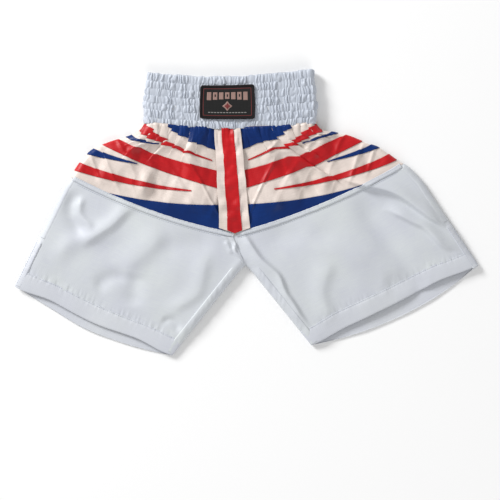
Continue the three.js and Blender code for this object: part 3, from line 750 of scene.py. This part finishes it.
def build_edging():
    """The overlocked edging: a cord round the patch with a bump of thread every millimetre and a half."""
    corner, tall = 2.5, 0.95
    half_w, half_h = (PATCH_WIDTH - PATCH_BORDER) / 2 - corner, (PATCH_HEIGHT - PATCH_BORDER) / 2 - corner
    path = []
    for k, (way_x, way_y) in enumerate(((1, 1), (-1, 1), (-1, -1), (1, -1))):
        turn = np.linspace(0, math.pi / 2, 6) + k * math.pi / 2
        path.append(np.stack([PATCH_X + way_x * half_w + corner * np.cos(turn),
                              PATCH_Y + way_y * half_h + corner * np.sin(turn)], -1))
    path = np.concatenate([*path, path[0][:1]])
    share = np.linspace(0, 1, 560, endpoint=False)
    line = along(path, share)
    ahead = along(path, (share + 0.001) % 1) - along(path, (share - 0.001) % 1)
    ahead /= np.linalg.norm(ahead, axis=1, keepdims=True)
    side = np.stack([ahead[:, 1], -ahead[:, 0]], -1)
    run = share * lengths(path)[-1]
    angle = np.linspace(0, 2 * math.pi, 12, endpoint=False)
    grid = []
    for a in angle:
        size = 1 + 0.07 * np.abs(np.sin(math.pi * (run / 1.5 + 0.25 * math.cos(a))))
        flat = line + side * (PATCH_BORDER / 2 * math.cos(a) * size)[:, None]
        z = PATCH_Z + tall + patch_wave(*flat.T) + tall * math.sin(a) * size
        grid.append(np.stack([flat[:, 0], flat[:, 1], z], -1))
    index = np.arange(len(angle) * len(share)).reshape(len(angle), len(share))
    after = np.roll(index, -1, 0)
    quads = np.stack([index, after, np.roll(after, -1, 1), np.roll(index, -1, 1)], -1).reshape(-1, 4)
    uv = np.stack(np.meshgrid(run, angle), -1).reshape(-1, 2) * 0.001
    edging = build("patch_edging_cord", np.concatenate(grid), quads[:, ::-1], MATERIALS["border"], uv)
    finish_piece(edging, "hips", "border", "patch_border")


def build_patch():
    """The woven patch. Its marks are plain shapes, with no lettering."""
    inside = 2 * PATCH_BORDER - 1
    field = rounded_slab("front_patch_cloth", PATCH_X, PATCH_Y, PATCH_WIDTH - inside, PATCH_HEIGHT - inside,
                         PATCH_Z, 1.0, "patch", 1.0, 40, 24, patch_wave)
    finish_piece(field, "hips", "patch", "front_patch")
    build_edging()
    top = PATCH_Z + 1.0
    line, margin = 0.9, PATCH_BORDER + 2.4
    half_w, half_h = PATCH_WIDTH / 2 - margin, PATCH_HEIGHT / 2 - margin
    long, tall = (2 * half_w, line), (line, 2 * half_h)
    for name, x, y, size in (("top", 0, half_h, long), ("bottom", 0, -half_h, long),
                             ("left", half_w, 0, tall), ("right", -half_w, 0, tall)):
        patch_mark(f"line_{name}", x, y, *size, top - 0.15, 0.35, "dull_red", 0.4, 30, 30)
    blocks, block_pitch = 7, 10.2
    for k in range(blocks):
        out = abs(k - blocks // 2)
        x = (k - blocks // 2) * block_pitch
        height = 11 + 0.9 * out
        patch_mark(f"block_{k + 1}", x, 11 - 0.35 * out, 7.4, height, top - 0.15, 0.55, "tan", 1.2, 14, 14)
        if k % 2:
            patch_mark(f"block_mark_{k + 1}", x, 11, 2.2, 4.6, top + 0.3, 0.3, "patch", 0.8, 10, 10)
    build_lozenge("rim", 8.4, top - 0.1, "tan")
    build_lozenge("heart", 5.2, top + 0.3, "dull_red")
    dashes, dash_pitch = 13, 5.0
    for k in range(dashes):
        x = (k - dashes // 2) * dash_pitch
        patch_mark(f"dash_{k + 1}", x, -17.5, 3.6, 1.3, top - 0.12, 0.4, "grey", 0.5, 8, 8)


def build_lozenge(name, half, z, slot):
    """A lozenge with slightly hollow sides: rings of points round its middle, over the same rings below."""
    thickness = 0.45
    share = np.array([0.0, 0.5, 0.85, 1.0])[:, None]
    angle = np.linspace(0, 2 * math.pi, 32, endpoint=False)
    reach = (1 - 0.12 * np.sin(2 * angle) ** 2) / (np.abs(np.cos(angle)) + np.abs(np.sin(angle)))
    x = PATCH_X + half * share * reach * np.cos(angle)
    y = PATCH_Y - 6.5 + half * share * reach * np.sin(angle)
    low = z + patch_wave(x, y)
    top = np.stack([x, y, low + thickness * np.sqrt(1 - 0.9 * share ** 4)], -1)
    bottom = np.stack([x, y, low - 0.05], -1)
    points = np.concatenate([top[1:].reshape(-1, 3), bottom[1:].reshape(-1, 3), top[0, :1], bottom[0, :1]])
    rows, cols = len(share) - 1, len(angle)
    count = rows * cols
    face = grid_quads(rows, cols, wrap=True)
    first, rim = np.arange(cols), np.arange(count - cols, count)
    after_rim = np.roll(rim, -1)
    side = np.stack([rim, rim + count, after_rim + count, after_rim], -1)
    near, middle, far = first[::2], first[1::2], np.roll(first, -2)[::2]
    centre = np.full(len(near), 2 * count)
    cap = np.stack([centre, near, middle, far], -1)
    under = np.stack([centre + 1, far + count, middle + count, near + count], -1)
    quads = np.concatenate([face, face[:, ::-1] + count, side, cap, under])
    lozenge = build(f"patch_lozenge_{name}", points, quads, MATERIALS[slot], points[:, :2] * 0.001)
    finish_piece(lozenge, "hips", "patch")


def label_wave(x, y):
    return 0.5 * np.sin(x / 9) * np.cos((y - LABEL_RISE) / 14)


def build_label():
    """The size label inside the back of the waistband, with a plain printed bar instead of a size."""
    middle = CENTRE_FRONT, LABEL_RISE
    label = rounded_slab("size_label_cloth", *middle, LABEL_WIDTH, LABEL_HEIGHT, LABEL_Z, 0.5, "label", 0.8,
                         40, 24, label_wave)
    finish_piece(label, "hips", "label", "size_label")
    bar = rounded_slab("size_label_bar", *middle, LABEL_WIDTH * 0.5, 2.2, LABEL_Z + 0.42, 0.25, "grey", 0.5,
                       20, 8, label_wave)
    finish_piece(bar, "hips", "label")


# ---- Yoke -----------------------------------------------------------------------------------------------
def pleat_list(name):
    """The listed pleats and the fine gathers between them, from the centre outwards."""
    seed = {"left": 4, "right": 5}[name]
    fine = []
    for k in range(GATHERS):
        start = 0.07 + 0.9 * (k + 0.5) / GATHERS + 0.012 * lattice(k, 3, seed)
        end = start - 0.03 * start * (name == "right") + 0.012
        reach = GATHER_REACH * (1 + 0.5 * lattice(k, 7, seed))
        tuck = GATHER_TUCK * (1 + 0.4 * lattice(k, 9, seed))
        if min(abs(start - pleat[0]) for pleat in PLEATS[name]) > 0.024:
            fine.append((start, end, reach, tuck))
    return sorted(PLEATS[name] + fine)


def pleat_state(name, d, width):
    """Each pleat's visible place, hidden share of the width and hidden width, at a place d down the yoke."""
    state = []
    for start, end, reach, tuck in pleat_list(name):
        t = d / reach
        hidden = tuck * (1 - smooth(t, 0.35, 1.15))
        state.append((mix(start, end, np.clip(t, 0, 1.3)), hidden / width, hidden))
    return state


def material_share(name, share, d, width):
    """The cloth's own share across at a visible share."""
    total, passed = 0.0, 0.0
    for shown, hidden, _ in pleat_state(name, d, width):
        total = total + hidden
        passed = passed + hidden * smooth(share - shown, -0.015, 0.015)
    return (share + passed) / (1 + total)


def pleated(name, m, d, width):
    """Visible share across, height and drop of the cloth at its own share m."""
    state = pleat_state(name, d, width)
    total = sum(hidden for _, hidden, _ in state)
    shown_share = m * (1 + total)
    lift = np.zeros(np.broadcast(m, d).shape)
    drop = np.zeros(lift.shape)
    passed = 0.0
    for shown, hidden, tuck in state:
        middle = (shown + passed + hidden / 2) / (1 + total)
        passed = passed + hidden
        sigma = np.maximum(tuck * 0.5, 2.4) / width
        x = (m - middle) / sigma
        turn = smooth(x, -0.5, 0.5)
        shown_share = shown_share - hidden * turn
        lead = -(x + 0.5) * sigma * width / np.maximum(tuck, 2.5)  # ahead of the fold, in tucks
        near = 1 - 0.5 * (np.clip(0.45 - lead, 0, 0.45) / 0.45) ** 2
        crest = near * np.exp(-((np.maximum(lead - 0.45, 0) / 1.3) ** 2))
        lift = lift + 0.36 * tuck * crest * (1 - turn)
        before = np.clip(lead / 1.1, 0, 1)
        climb = 0.5 * before * np.clip(1 - lead / 3.2, 0, 1) ** 1.3
        after = -0.5 * (1 - before) * np.clip(1 + lead / 3.2, 0, 1) ** 1.3
        drop = drop + FALL * (1 - 0.45 * shown) * tuck * (climb + after)
    return shown_share, lift, drop


class Yoke:
    """One side of the front yoke: cloth place (m across, d down) to a point in the garment's frame."""

    def __init__(self, leg):
        self.leg = leg
        self.top = np.array([WAIST_CENTRE, leg.silhouette[0]])
        self.inner = np.array([WAIST_CENTRE, YOKE_TIP])
        self.rows = np.linspace(0, 1, 40)
        left, right = (self.plan(across + 0 * self.rows, self.rows) for across in (0, 1))
        self.widths = np.linalg.norm(right - left, axis=1)

    def plan(self, share, d):
        """Place on the floor plan at a visible share across."""
        return coons(self.top, self.leg.seam, self.inner, self.leg.yoke_side, share, d)

    def width(self, d):
        return np.interp(d, self.rows, self.widths)

    def strip(self, d):
        """Share across of the centre strip's edge."""
        return mix(STRIP_TOP, STRIP_BOTTOM, d) / self.width(d)

    def folds(self, m, d):
        """Height of the gathers just under the waist and of the softer folds that run on down."""
        cloth = m * self.width(d)
        gathers = 1.1 * noise(cloth / 4.2, d * 5 + 3, 61) + 0.6 * noise(cloth / 2.6, d * 9, 67)
        roll = 6.0 * noise(cloth / 17 - d * 4, d * 2.6, 71) * (0.4 + 0.6 * smooth(d, 0.05, 0.3))
        ridge = np.clip(1 - 2.4 * np.abs(noise(cloth / 30 + d * 3, d * 1.6 + 5, 77)), 0, 1) ** 1.5
        long_folds = (roll + 2.6 * ridge * smooth(d, 0.02, 0.2)) * (1 - smooth(d, 0.8, 0.97))
        return gathers * (1 - smooth(d, 0.0, 0.32)) + long_folds

    def points(self, m, d):
        on_yoke = np.clip(d, 0, 1)
        share, lift, drop = pleated(self.leg.name, m, on_yoke, self.width(d))
        share = np.clip(share, 0, 1)
        plan = self.plan(share, on_yoke)
        inside = smooth(share, 0.02, 0.12) * smooth(1 - share, 0.0, 0.05)
        x = plan[..., 0]
        y = plan[..., 1] + TUCKED_IN * np.maximum(-d, 0) + drop * inside * smooth(d, 0.0, 0.13)
        hold = smooth(1 - share, 0.0, 0.06) * smooth(share, 0.0, 0.14)
        high = front_height(self.leg, x, y) + (lift + self.folds(m, d)) * (0.25 + 0.75 * hold)
        return np.stack([x, y, high - tucked_depth(d)], -1)

    def cloth_at(self, share, d):
        """Cloth's own share for a flag place, where 0 is the strip's edge and 1 the side."""
        strip = self.strip(d)
        return material_share(self.leg.name, strip + share * (1 - strip), d, self.width(d))


def tucked_depth(d):
    """How far the rows above the waist seam, where d is below 0, sink under the waistband."""
    return 2.2 * smooth(-d, 0, -UNDER_BAND[0])


def columns(start, end, spacing, width, to_side):
    """Shares across from start to end, closer together where the cloth turns down at the side."""
    if not to_side:
        return np.linspace(start, end, max(int((end - start) * width / spacing), 12))
    turn = end - EDGE_RADIUS / width
    if turn <= start:
        return start + (end - start) * np.sin(np.linspace(0, math.pi / 2, 16))
    flat = np.linspace(start, turn, max(int((turn - start) * width / spacing), 4), endpoint=False)
    return np.concatenate([flat, turn + (end - turn) * np.sin(np.linspace(0, math.pi / 2, 20))])


def build_yoke(leg):
    """The ivory ground of one side and the flag's shapes on it."""
    yoke, name = Yoke(leg), leg.name
    m = columns(0, 1, COLUMN, YOKE_WIDTH * 1.2, True)
    d = np.concatenate([UNDER_BAND, np.linspace(0, 1, int(FRONT_RISE / ROW))])
    grid = yoke.points(*np.meshgrid(m, d))
    uv = np.stack(np.meshgrid(m * YOKE_CLOTH, d * FRONT_RISE), -1)
    ground = panel(f"{name}_front_yoke_cloth", grid, MATERIALS["ivory"], uv)
    finish_piece(ground, "hips", "ivory", f"{name}_front_yoke")
    for shape, values in FLAG.items():
        build_flag_shape(yoke, name, shape, **values)


def build_flag_shape(yoke, name, shape, inner, outer, colour):
    """A satin shape between an inner and an outer end, each a share across and two places down."""
    places = [(share, float(d)) for share, high, low in (inner, outer) for d in (high, low)]
    m0, m1, m2, m3 = (float(yoke.cloth_at(np.array(share), np.array(d))) for share, d in places)
    d0, d1, d2, d3 = (d for _, d in places)
    if inner[0] == 0:  # it runs on under the centre strip
        m0, m1 = m0 - 0.02, m1 - 0.02
    tall = max(abs(d1 - d0), abs(d3 - d2)) * FRONT_RISE
    s = columns(0, 1, COLUMN, abs(m2 - m0) * 330, outer[0] == 1)
    gs, gt = np.meshgrid(s, np.linspace(0, 1, max(int(tall / 1.5), 6)))
    grid_m = mix(mix(m0, m2, gs), mix(m1, m3, gs), gt)
    grid_d = mix(mix(d0, d2, gs), mix(d1, d3, gs), gt)
    if d0 == d2 == 0:  # it starts under the waistband
        grid_m, grid_d = np.vstack([grid_m[:1], grid_m]), np.vstack([grid_d[:1] - 0.02, grid_d])
    grid = yoke.points(grid_m, grid_d)
    uv = np.stack([grid_m * YOKE_CLOTH, grid_d * FRONT_RISE], -1)
    piece = panel(f"{name}_{shape}_satin", grid, MATERIALS[colour], uv, APPLIED, APPLIED_GAP + APPLIED)
    finish_piece(piece, "hips", colour, f"{name}_{shape}")


def centre_line(y):
    return mix(CENTRE_FRONT, YOKE_POINT, -y / FRONT_RISE)


def build_centre_strip(name, colour, share, lift, point):
    """A centre strip, which covers both halves of the yoke and its centre seam and ends in a point."""
    foot = TAPE_WIDTH * 0.35 - FRONT_RISE
    gs, gt = np.meshgrid(np.linspace(-1, 1, 60), np.concatenate([UNDER_BAND, np.linspace(0, 1, 150)]))
    y = mix(-0.5, foot + point * np.abs(gs), np.clip(gt, 0, 1)) + TUCKED_IN * np.maximum(-gt, 0)
    half = share * mix(STRIP_TOP, STRIP_BOTTOM, -y / FRONT_RISE)
    x = centre_line(y) + gs * half + 0.8 * noise(y / 22, 0, 81) + 0.5 * gs * noise(y / 13, 5, 83)
    z = np.where(x > centre_line(y), front_height(legs["left"], x, y), front_height(legs["right"], x, y))
    ripple = (1.3 * noise(x / 5, y / 26, 61) + 0.6 * noise(x / 3, y / 12, 67)) * (1 - smooth(-y, 0, 50))
    waves = 2.8 * noise((x + 0.8 * y) / 24, (y - 0.5 * x) / 14, 91) + noise((x - y) / 16, (x + y) / 13, 97)
    z = z + 2.6 + ripple + waves * (1 - 0.45 * np.abs(gs) ** 3) - tucked_depth(gt)
    grid = np.stack([x, y, z], -1)
    piece = panel(f"{name}_satin", grid, MATERIALS[colour], np.stack([gs * half, y], -1), APPLIED, lift)
    finish_piece(piece, "hips", colour, name)


def build_back_yoke(leg):
    """The back yoke and its gathers, above a seam that mirrors the front's."""
    name = leg.name
    d = np.concatenate([[-0.02], np.linspace(0, 1, 70)])
    gm, gd = np.meshgrid(columns(0, 1, 1.6, YOKE_WIDTH, True), d)
    on_yoke = np.clip(gd, 0, 1)
    plan = Yoke(leg).plan(gm, on_yoke)
    x, y = plan[..., 0], plan[..., 1] + np.where(gd < 0, 3, 0)
    width = mix(150, YOKE_WIDTH, on_yoke)
    gather = (0.6 + 0.5 * noise(gm * width / 3.6, gd * 4, 101)) * (1 - smooth(gd, 0, 0.4)) * 2.4
    grid = np.stack([x, y, back_height(leg, x, y) + gather * smooth(1 - gm, 0, 0.05)], -1)
    uv = np.stack([gm * 300, gd * FRONT_RISE], -1)
    piece = panel(f"{name}_back_yoke_cloth", grid, MATERIALS["ivory"], uv, up=-1)
    finish_piece(piece, "hips", "ivory", f"{name}_back_yoke")


# ---- Legs and hems --------------------------------------------------------------------------------------
def blend_leg(piece, leg, slot, *nodes):
    """Bakes the piece's transform into its mesh and hides the CAD nodes."""
    start = place(np.append(leg.at(0, 0), 0))
    end = place(np.append(leg.at(0, BEND), 0))
    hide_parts(*nodes)
    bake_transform(piece)


def leg_panel(leg, layer):
    """Floor plan of a leg's front or back, from the yoke seam to just under the hem's upper edge."""
    s = np.linspace(0, 1, 40)
    bottom_v = leg.foot(layer, s) - HEM_HEIGHT + 4
    bottom = leg.at(mix(leg.inner(bottom_v), leg.outer(bottom_v), s), bottom_v)
    inner = np.vstack([leg.inner_edge[:-1], bottom[:1]])
    outer = np.vstack([leg.hip_side, bottom[-1:]])
    edge = 0.045  # share of the width at each side where the columns lie closer together
    a = np.sin(np.linspace(0, math.pi / 2, 16)) * edge
    shares = np.concatenate([edge - a[::-1], np.linspace(edge, 1 - edge, 190)[1:-1], 1 - edge + a])
    plan = coons(leg.seam, bottom, inner, outer, *np.meshgrid(shares, np.linspace(0, 1, 170)))
    return plan[..., 0], plan[..., 1]


def hem_pucker(leg, x, y):
    """Fine puckers just above the hem's stitching."""
    u, v = leg.local(x, y)
    s = np.clip((u - leg.inner(v)) / (leg.outer(v) - leg.inner(v)), 0, 1)
    stitch = leg.foot("front", s) - HEM_HEIGHT
    near = np.exp(-((v - stitch) / 9) ** 2)
    patchy = 0.5 + 0.5 * noise(u / 30, 2, 131)
    return 0.75 * near * patchy * noise(u / 3.2 + 0.3 * v / 9, v / 14, 133)


def build_leg(leg):
    name = leg.name
    front, back = partial(front_height, leg), partial(back_height, leg)
    x, y = leg_panel(leg, "front")
    grid = np.stack([x, y, front(x, y) + hem_pucker(leg, x, y)], -1)
    piece = panel(f"{name}_front_leg_cloth", grid, MATERIALS["white"], cloth_uv(grid))
    blend_leg(piece, leg, "white", f"{name}_front_leg", f"{name}_front_leg_top")
    x, y = leg_panel(leg, "back")
    grid = np.stack([x, y, back(x, y)], -1)
    piece = panel(f"{name}_back_leg_cloth", grid, MATERIALS["white"], cloth_uv(grid), up=-1)
    blend_leg(piece, leg, "white", f"{name}_back_leg")
    build_hem(leg, "front", front, 1)
    build_hem(leg, "back", back, -1)
    build_yoke_seam(leg, front, back)
    build_side_seam(leg, front)
    build_slit(leg, front, back)
    build_inseam(leg, front)


def build_hem(leg, layer, height, up):
    """A turned-up hem: a closed band with a rounded foot and a puckered, stitched upper edge."""
    name = leg.name
    rounded = HEM_HEIGHT - 3 + 3 * np.sin(np.linspace(0.15, math.pi / 2, 6))
    v = np.concatenate([np.linspace(0, 4, 5), np.linspace(5.5, HEM_HEIGHT - 3, 10), rounded])
    s = np.linspace(0, 1, 260)
    s = 0.5 - 0.5 * np.cos(math.pi * s) * (0.55 + 0.45 * np.abs(np.cos(math.pi * s)) ** 0.4)
    gs, gv = np.meshgrid((s - s[0]) / (s[-1] - s[0]), v)
    row = leg.foot(layer, gs) - HEM_HEIGHT + gv
    u = mix(leg.inner(row), leg.outer(row), gs)
    swing = 2.2 * noise(gs * 4 + 7, 0 * gs, 140 + leg.side + (up > 0)) * (gv / HEM_HEIGHT) ** 2
    plan = leg.at(u, row + swing)
    x, y = plan[..., 0], plan[..., 1]
    stitch = 0.5 * np.exp(-((gv - HEM_STITCH - 0.4) / 1.6) ** 2)
    pucker = 0.55 * noise(u / 3.0, gv / 9, 151) * np.exp(-(gv / 7) ** 2)
    body = 0.5 * np.sin(math.pi * np.clip(gv / HEM_HEIGHT, 0, 1)) + 0.35 * noise(u / 26, gv / 20, 155)
    foot = 2.0 * (1 - np.sqrt(np.clip(1 - np.clip((gv - HEM_HEIGHT + 3) / 3, 0, 1) ** 2, 0, 1)))
    base = height(x, y)
    z = base + up * (0.65 + body + pucker - stitch - 0.6 * foot)
    inner = base + up * (-0.55 + 0.3 * foot)
    if up < 0:  # the back hem lies on the floor
        z = np.maximum(z, 0.05)
        inner = np.maximum(inner, z + 0.7)
    top, under = np.stack([x, y, z], -1), np.stack([x, y, inner], -1)
    hem = shell(f"{name}_{layer}_hem_band", top, under, MATERIALS["hem"], np.stack([u, gv], -1))
    finish_piece(hem, f"{name}_leg", "band", f"{name}_{layer}_hem")
    path = top[int(np.argmin(np.abs(v - HEM_STITCH)))] + np.array([0, 0, up * 0.12])
    normal = np.tile([0, 0, float(up)], (len(path), 1))
    thread = stitches(f"{name}_{layer}_hem_stitching", [(path, normal)], MATERIALS["thread"])
    finish_piece(thread, f"{name}_leg", "band")


# ---- Seams and strips -----------------------------------------------------------------------------------
def sideways(path):
    """Unit directions to the left of the way along a path."""
    step = np.gradient(path, axis=0)
    step /= np.linalg.norm(step, axis=1, keepdims=True)
    return np.stack([-step[:, 1], step[:, 0]], -1)


def offset_path(path, distance):
    return path + distance * sideways(path)


def resample(path, spacing):
    count = max(int(lengths(path)[-1] / spacing), 4)
    return along(path, np.linspace(0, 1, count))


def band_along(name, path, low, high, height, slot, lift=0.9, thickness=0.7, up=1, ripple=0.0, wrinkles=None,
               fade_in=1, rests_on=None):
    """A narrow band of cloth beside a path, from low to high millimetres to its left, on a height field."""
    across = np.linspace(low, high, 9)
    plan = path[None] + across[:, None, None] * sideways(path)[None]
    run = lengths(path)[None]
    share = np.linspace(0, 1, 9)[:, None]
    x, y = plan[..., 0], plan[..., 1]
    round_off = 0.55 * np.sqrt(np.clip(1 - (2 * share - 1) ** 4, 0, 1))
    z = height(x, y) + up * (round_off + ripple * noise(run / 3.4, share * 1.5, 121))
    z = z - up * 1.3 * (1 - smooth(run, 0, fade_in)) * (fade_in > 1)
    if wrinkles is not None:
        z = z + up * wrinkles(run, share)
    uv = np.stack(np.broadcast_arrays(run, across[:, None] + 0 * run), -1)
    grid = np.stack([x, y, z], -1)
    piece = panel(name, grid, MATERIALS[slot], uv, thickness, lift, up)
    return piece


def cord_along(name, points, radius, slot):
    """A thin round seam along a line in space, closed at both ends."""
    sides, rows = 8, len(points)
    tangent = np.gradient(points, axis=0)
    tangent /= np.linalg.norm(tangent, axis=1, keepdims=True)
    side = np.cross(tangent, [0, 0, 1.0])
    side /= np.linalg.norm(side, axis=1, keepdims=True)
    top = np.cross(side, tangent)
    angle = np.linspace(0, 2 * math.pi, sides, endpoint=False)[:, None]
    size = np.full(rows, radius)
    size[[0, -1]] = 0.02
    around = np.cos(angle) * side[:, None] + np.sin(angle) * top[:, None]
    ring = points[:, None] + size[:, None, None] * around
    quads = grid_quads(rows, sides, wrap=True)
    first = np.array([[3, 2, 1, 0], [5, 4, 3, 0], [7, 6, 5, 0]])
    last = (rows - 1) * sides + first[:, ::-1]
    uv = np.stack(np.meshgrid(angle * radius, lengths(points)), -1).reshape(-1, 2) * 0.001
    return build(name, ring.reshape(-1, 3), np.concatenate([quads, first, last]), MATERIALS[slot], uv)


def build_yoke_seam(leg, front, back):
    """The welts over the yoke seam, front and back, and the front's rows of stitching."""
    name, half = leg.name, TAPE_WIDTH / 2
    seam = resample(leg.seam, 1.2)
    covered = seam[2:-6]
    welt = band_along(f"{name}_yoke_seam_welt", covered, -half, half, front, "white", 1.15, 1.1, ripple=0.18)
    finish_piece(welt, "hips", "white", f"{name}_yoke_seam_tape")
    welt = band_along(f"{name}_back_seam_welt", covered, -half, half, back, "white", 0.3, 0.6, up=-1)
    finish_piece(welt, "hips", "white")
    rows = [surface_line(front, offset_path(seam[4:-8], k), 1.7) for k in (-half + 1.3, half - 1.3)]
    rows.append(surface_line(front, offset_path(seam[6:-14], -leg.side * (half + 3.0)), 0.2))
    thread = stitches(f"{name}_yoke_seam_stitching", rows, MATERIALS["thread"])
    finish_piece(thread, "hips", "white")


def build_side_seam(leg, front):
    """The hip's side seam, a cord of turned cloth by the edge, and the strip from there to the slit."""
    name, side = leg.name, leg.side
    inset = offset_path(resample(leg.silhouette, 4), -side * 1.2)
    line = np.column_stack([inset, np.full(len(inset), EDGE_HEIGHT - 0.5)])
    cord = cord_along(f"{name}_hip_side_seam", line, 1.1, "white")
    finish_piece(cord, "hips", "white", f"{name}_hip_side_strip")
    lower = leg.outer_line(0, leg.length - SLIT, 30)
    path = resample(np.vstack([leg.hip_side[:-1], lower]), 2)
    strip = band_along(f"{name}_side_strip", path, -side * EDGE_FOLD, -side * 0.3, front, "white", -0.2, 0.5,
                       ripple=0.12, rests_on=[f"{name}_front_leg_cloth"])
    blend_leg(strip, leg, "white", f"{name}_leg_side_strip")


def build_slit(leg, front, back):
    """The facings of the side slit, front and back, and the front's stitching."""
    name, side = leg.name, leg.side
    edges = -side * SLIT_FACING, -side * 0.3
    path = leg.outer_line(leg.length - SLIT, leg.length - 1, 60)
    facing = band_along(f"{name}_front_slit_facing_cloth", path, *edges, front, "hem", 0.5, 0.8, ripple=0.25,
                        fade_in=14, rests_on=[f"{name}_front_leg_cloth"])
    finish_piece(facing, f"{name}_leg", "band", f"{name}_front_slit_facing")
    back_path = leg.outer_line(leg.length - SLIT, leg.length, 60)
    facing = band_along(f"{name}_back_slit_facing_cloth", back_path, *edges, lambda x, y: back(x, y) + 1.2,
                        "hem", 0.9, 0.6, rests_on=[f"{name}_back_leg_cloth"])
    finish_piece(facing, f"{name}_leg", "band", f"{name}_back_slit_facing")
    rows = [surface_line(front, offset_path(path[6:-2], -side * k), 1.05) for k in (2.4, SLIT_FACING - 1.6)]
    thread = stitches(f"{name}_slit_stitching", rows, MATERIALS["thread"])
    finish_piece(thread, f"{name}_leg", "band")


def inseam_wrinkles(run, share):
    return 0.7 * noise(run / 5 + share * 2.5, share * 1.2, 161) * (0.4 + 0.6 * np.sin(math.pi * share))


def build_inseam(leg, front):
    """The strip along the inside of the leg."""
    name, side = leg.name, leg.side
    v = np.linspace(2, leg.length - 1, 90)
    path = leg.at(leg.inner(v), v)
    strip = band_along(f"{name}_inseam_strip_cloth", path, side * 0.3, side * (EDGE_FOLD + 2), front, "white",
                       0.35, 0.7, wrinkles=inseam_wrinkles, fade_in=26, rests_on=[f"{name}_front_leg_cloth"])
    blend_leg(strip, leg, "white", f"{name}_inseam_strip")


def build_gusset():
    """The gathered gusset below the yoke's point."""
    top, foot = YOKE_TIP + (-3, -4), CROTCH + (-1.5, 3)
    gs, gt = np.meshgrid(np.linspace(0, 1, 24), np.linspace(0, 1, 60))
    spread = 17 * (1 - gt) ** 0.8 + 3
    middle = mix(top, foot, gt[..., None])
    x, y = middle[..., 0] - gs * spread, middle[..., 1] + gs * spread * 0.1
    crumple = 0.9 * noise(gs * 3 + gt * 1.5, gt * 4, 171) + 0.6 * np.sin(gs * 9 + gt * 3) * (1 - gt)
    grid = np.stack([x, y, front_height(legs["right"], x, y) + 0.5 + crumple * np.sin(math.pi * gs)], -1)
    piece = panel("crotch_gusset_cloth", grid, MATERIALS["white"], np.stack([gs * 18, gt * 50], -1), 0.5, 0.6)
    finish_piece(piece, "hips", "white", "crotch_gusset")


# ---- Camera, floor and light ----------------------------------------------------------------------------
def build_camera():
    """The photo's view: straight down, from far enough off to show little perspective."""
    aim_x, aim_y, field, far, sensor = 0.0062, -0.0617, 0.84, 2.2, 36
    camera = bpy.data.objects.new("camera", bpy.data.cameras.new("camera"))
    camera.data.sensor_width = sensor
    camera.data.lens = sensor * far / field
    camera.location = (aim_x, aim_y, far + 0.012)
    bpy.context.scene.collection.objects.link(camera)
    bpy.context.scene.camera = camera


def build_floor():
    """Plain pale paper just under the cloth."""
    mesh = bpy.data.meshes.new("floor")
    size, pale = 6, 0.97
    corners = [(-size, -size, 0), (size, -size, 0), (size, size, 0), (-size, size, 0)]
    mesh.from_pydata(corners, [], [(0, 1, 2, 3)])
    floor = bpy.data.objects.new("floor", mesh)
    floor.location.z = -0.0004
    bpy.context.scene.collection.objects.link(floor)
    paper = bpy.data.materials.new("paper")
    paper.use_nodes = True
    shader = paper.node_tree.nodes["Principled BSDF"]
    shader.inputs["Base Color"].default_value = (pale, pale, pale, 1)
    shader.inputs["Roughness"].default_value = 0.9
    shader.inputs["Specular IOR Level"].default_value = 0.1
    mesh.materials.append(paper)


def build_light():
    """White surroundings, a soft key light from the waist's side and a weak fill from the hems'."""
    world = bpy.data.worlds.new("studio")
    world.use_nodes = True
    world.node_tree.nodes["Background"].inputs["Color"].default_value = (1, 1, 1, 1)
    world.node_tree.nodes["Background"].inputs["Strength"].default_value = 0.48
    bpy.context.scene.world = world
    for name, spot, size, power in (("key", (-3.4, 2.9, 2.3), 1.5, 250), ("fill", (1.6, -3.6, 2.6), 3.0, 55)):
        lamp = bpy.data.lights.new(name, "AREA")
        lamp.size, lamp.energy = size, power
        light = bpy.data.objects.new(name, lamp)
        light.location = spot
        light.rotation_mode = "QUATERNION"
        light.rotation_quaternion = (Vector((0, 0, 0)) - Vector(spot)).to_track_quat("-Z", "Y")
        bpy.context.scene.collection.objects.link(light)
    bpy.context.scene.view_settings.view_transform = "Standard"


build_camera()
build_floor()
build_light()
build_waistband()
build_patch()
build_label()
for leg in legs.values():
    build_yoke(leg)
    build_back_yoke(leg)
    build_leg(leg)
build_centre_strip("centre_strip_white", "ivory", 1.0, 0.3, 9)
build_centre_strip("centre_strip_red", "red", RED_STRIP, 1.2, 5)
build_gusset()

bpy.context.view_layer.update()
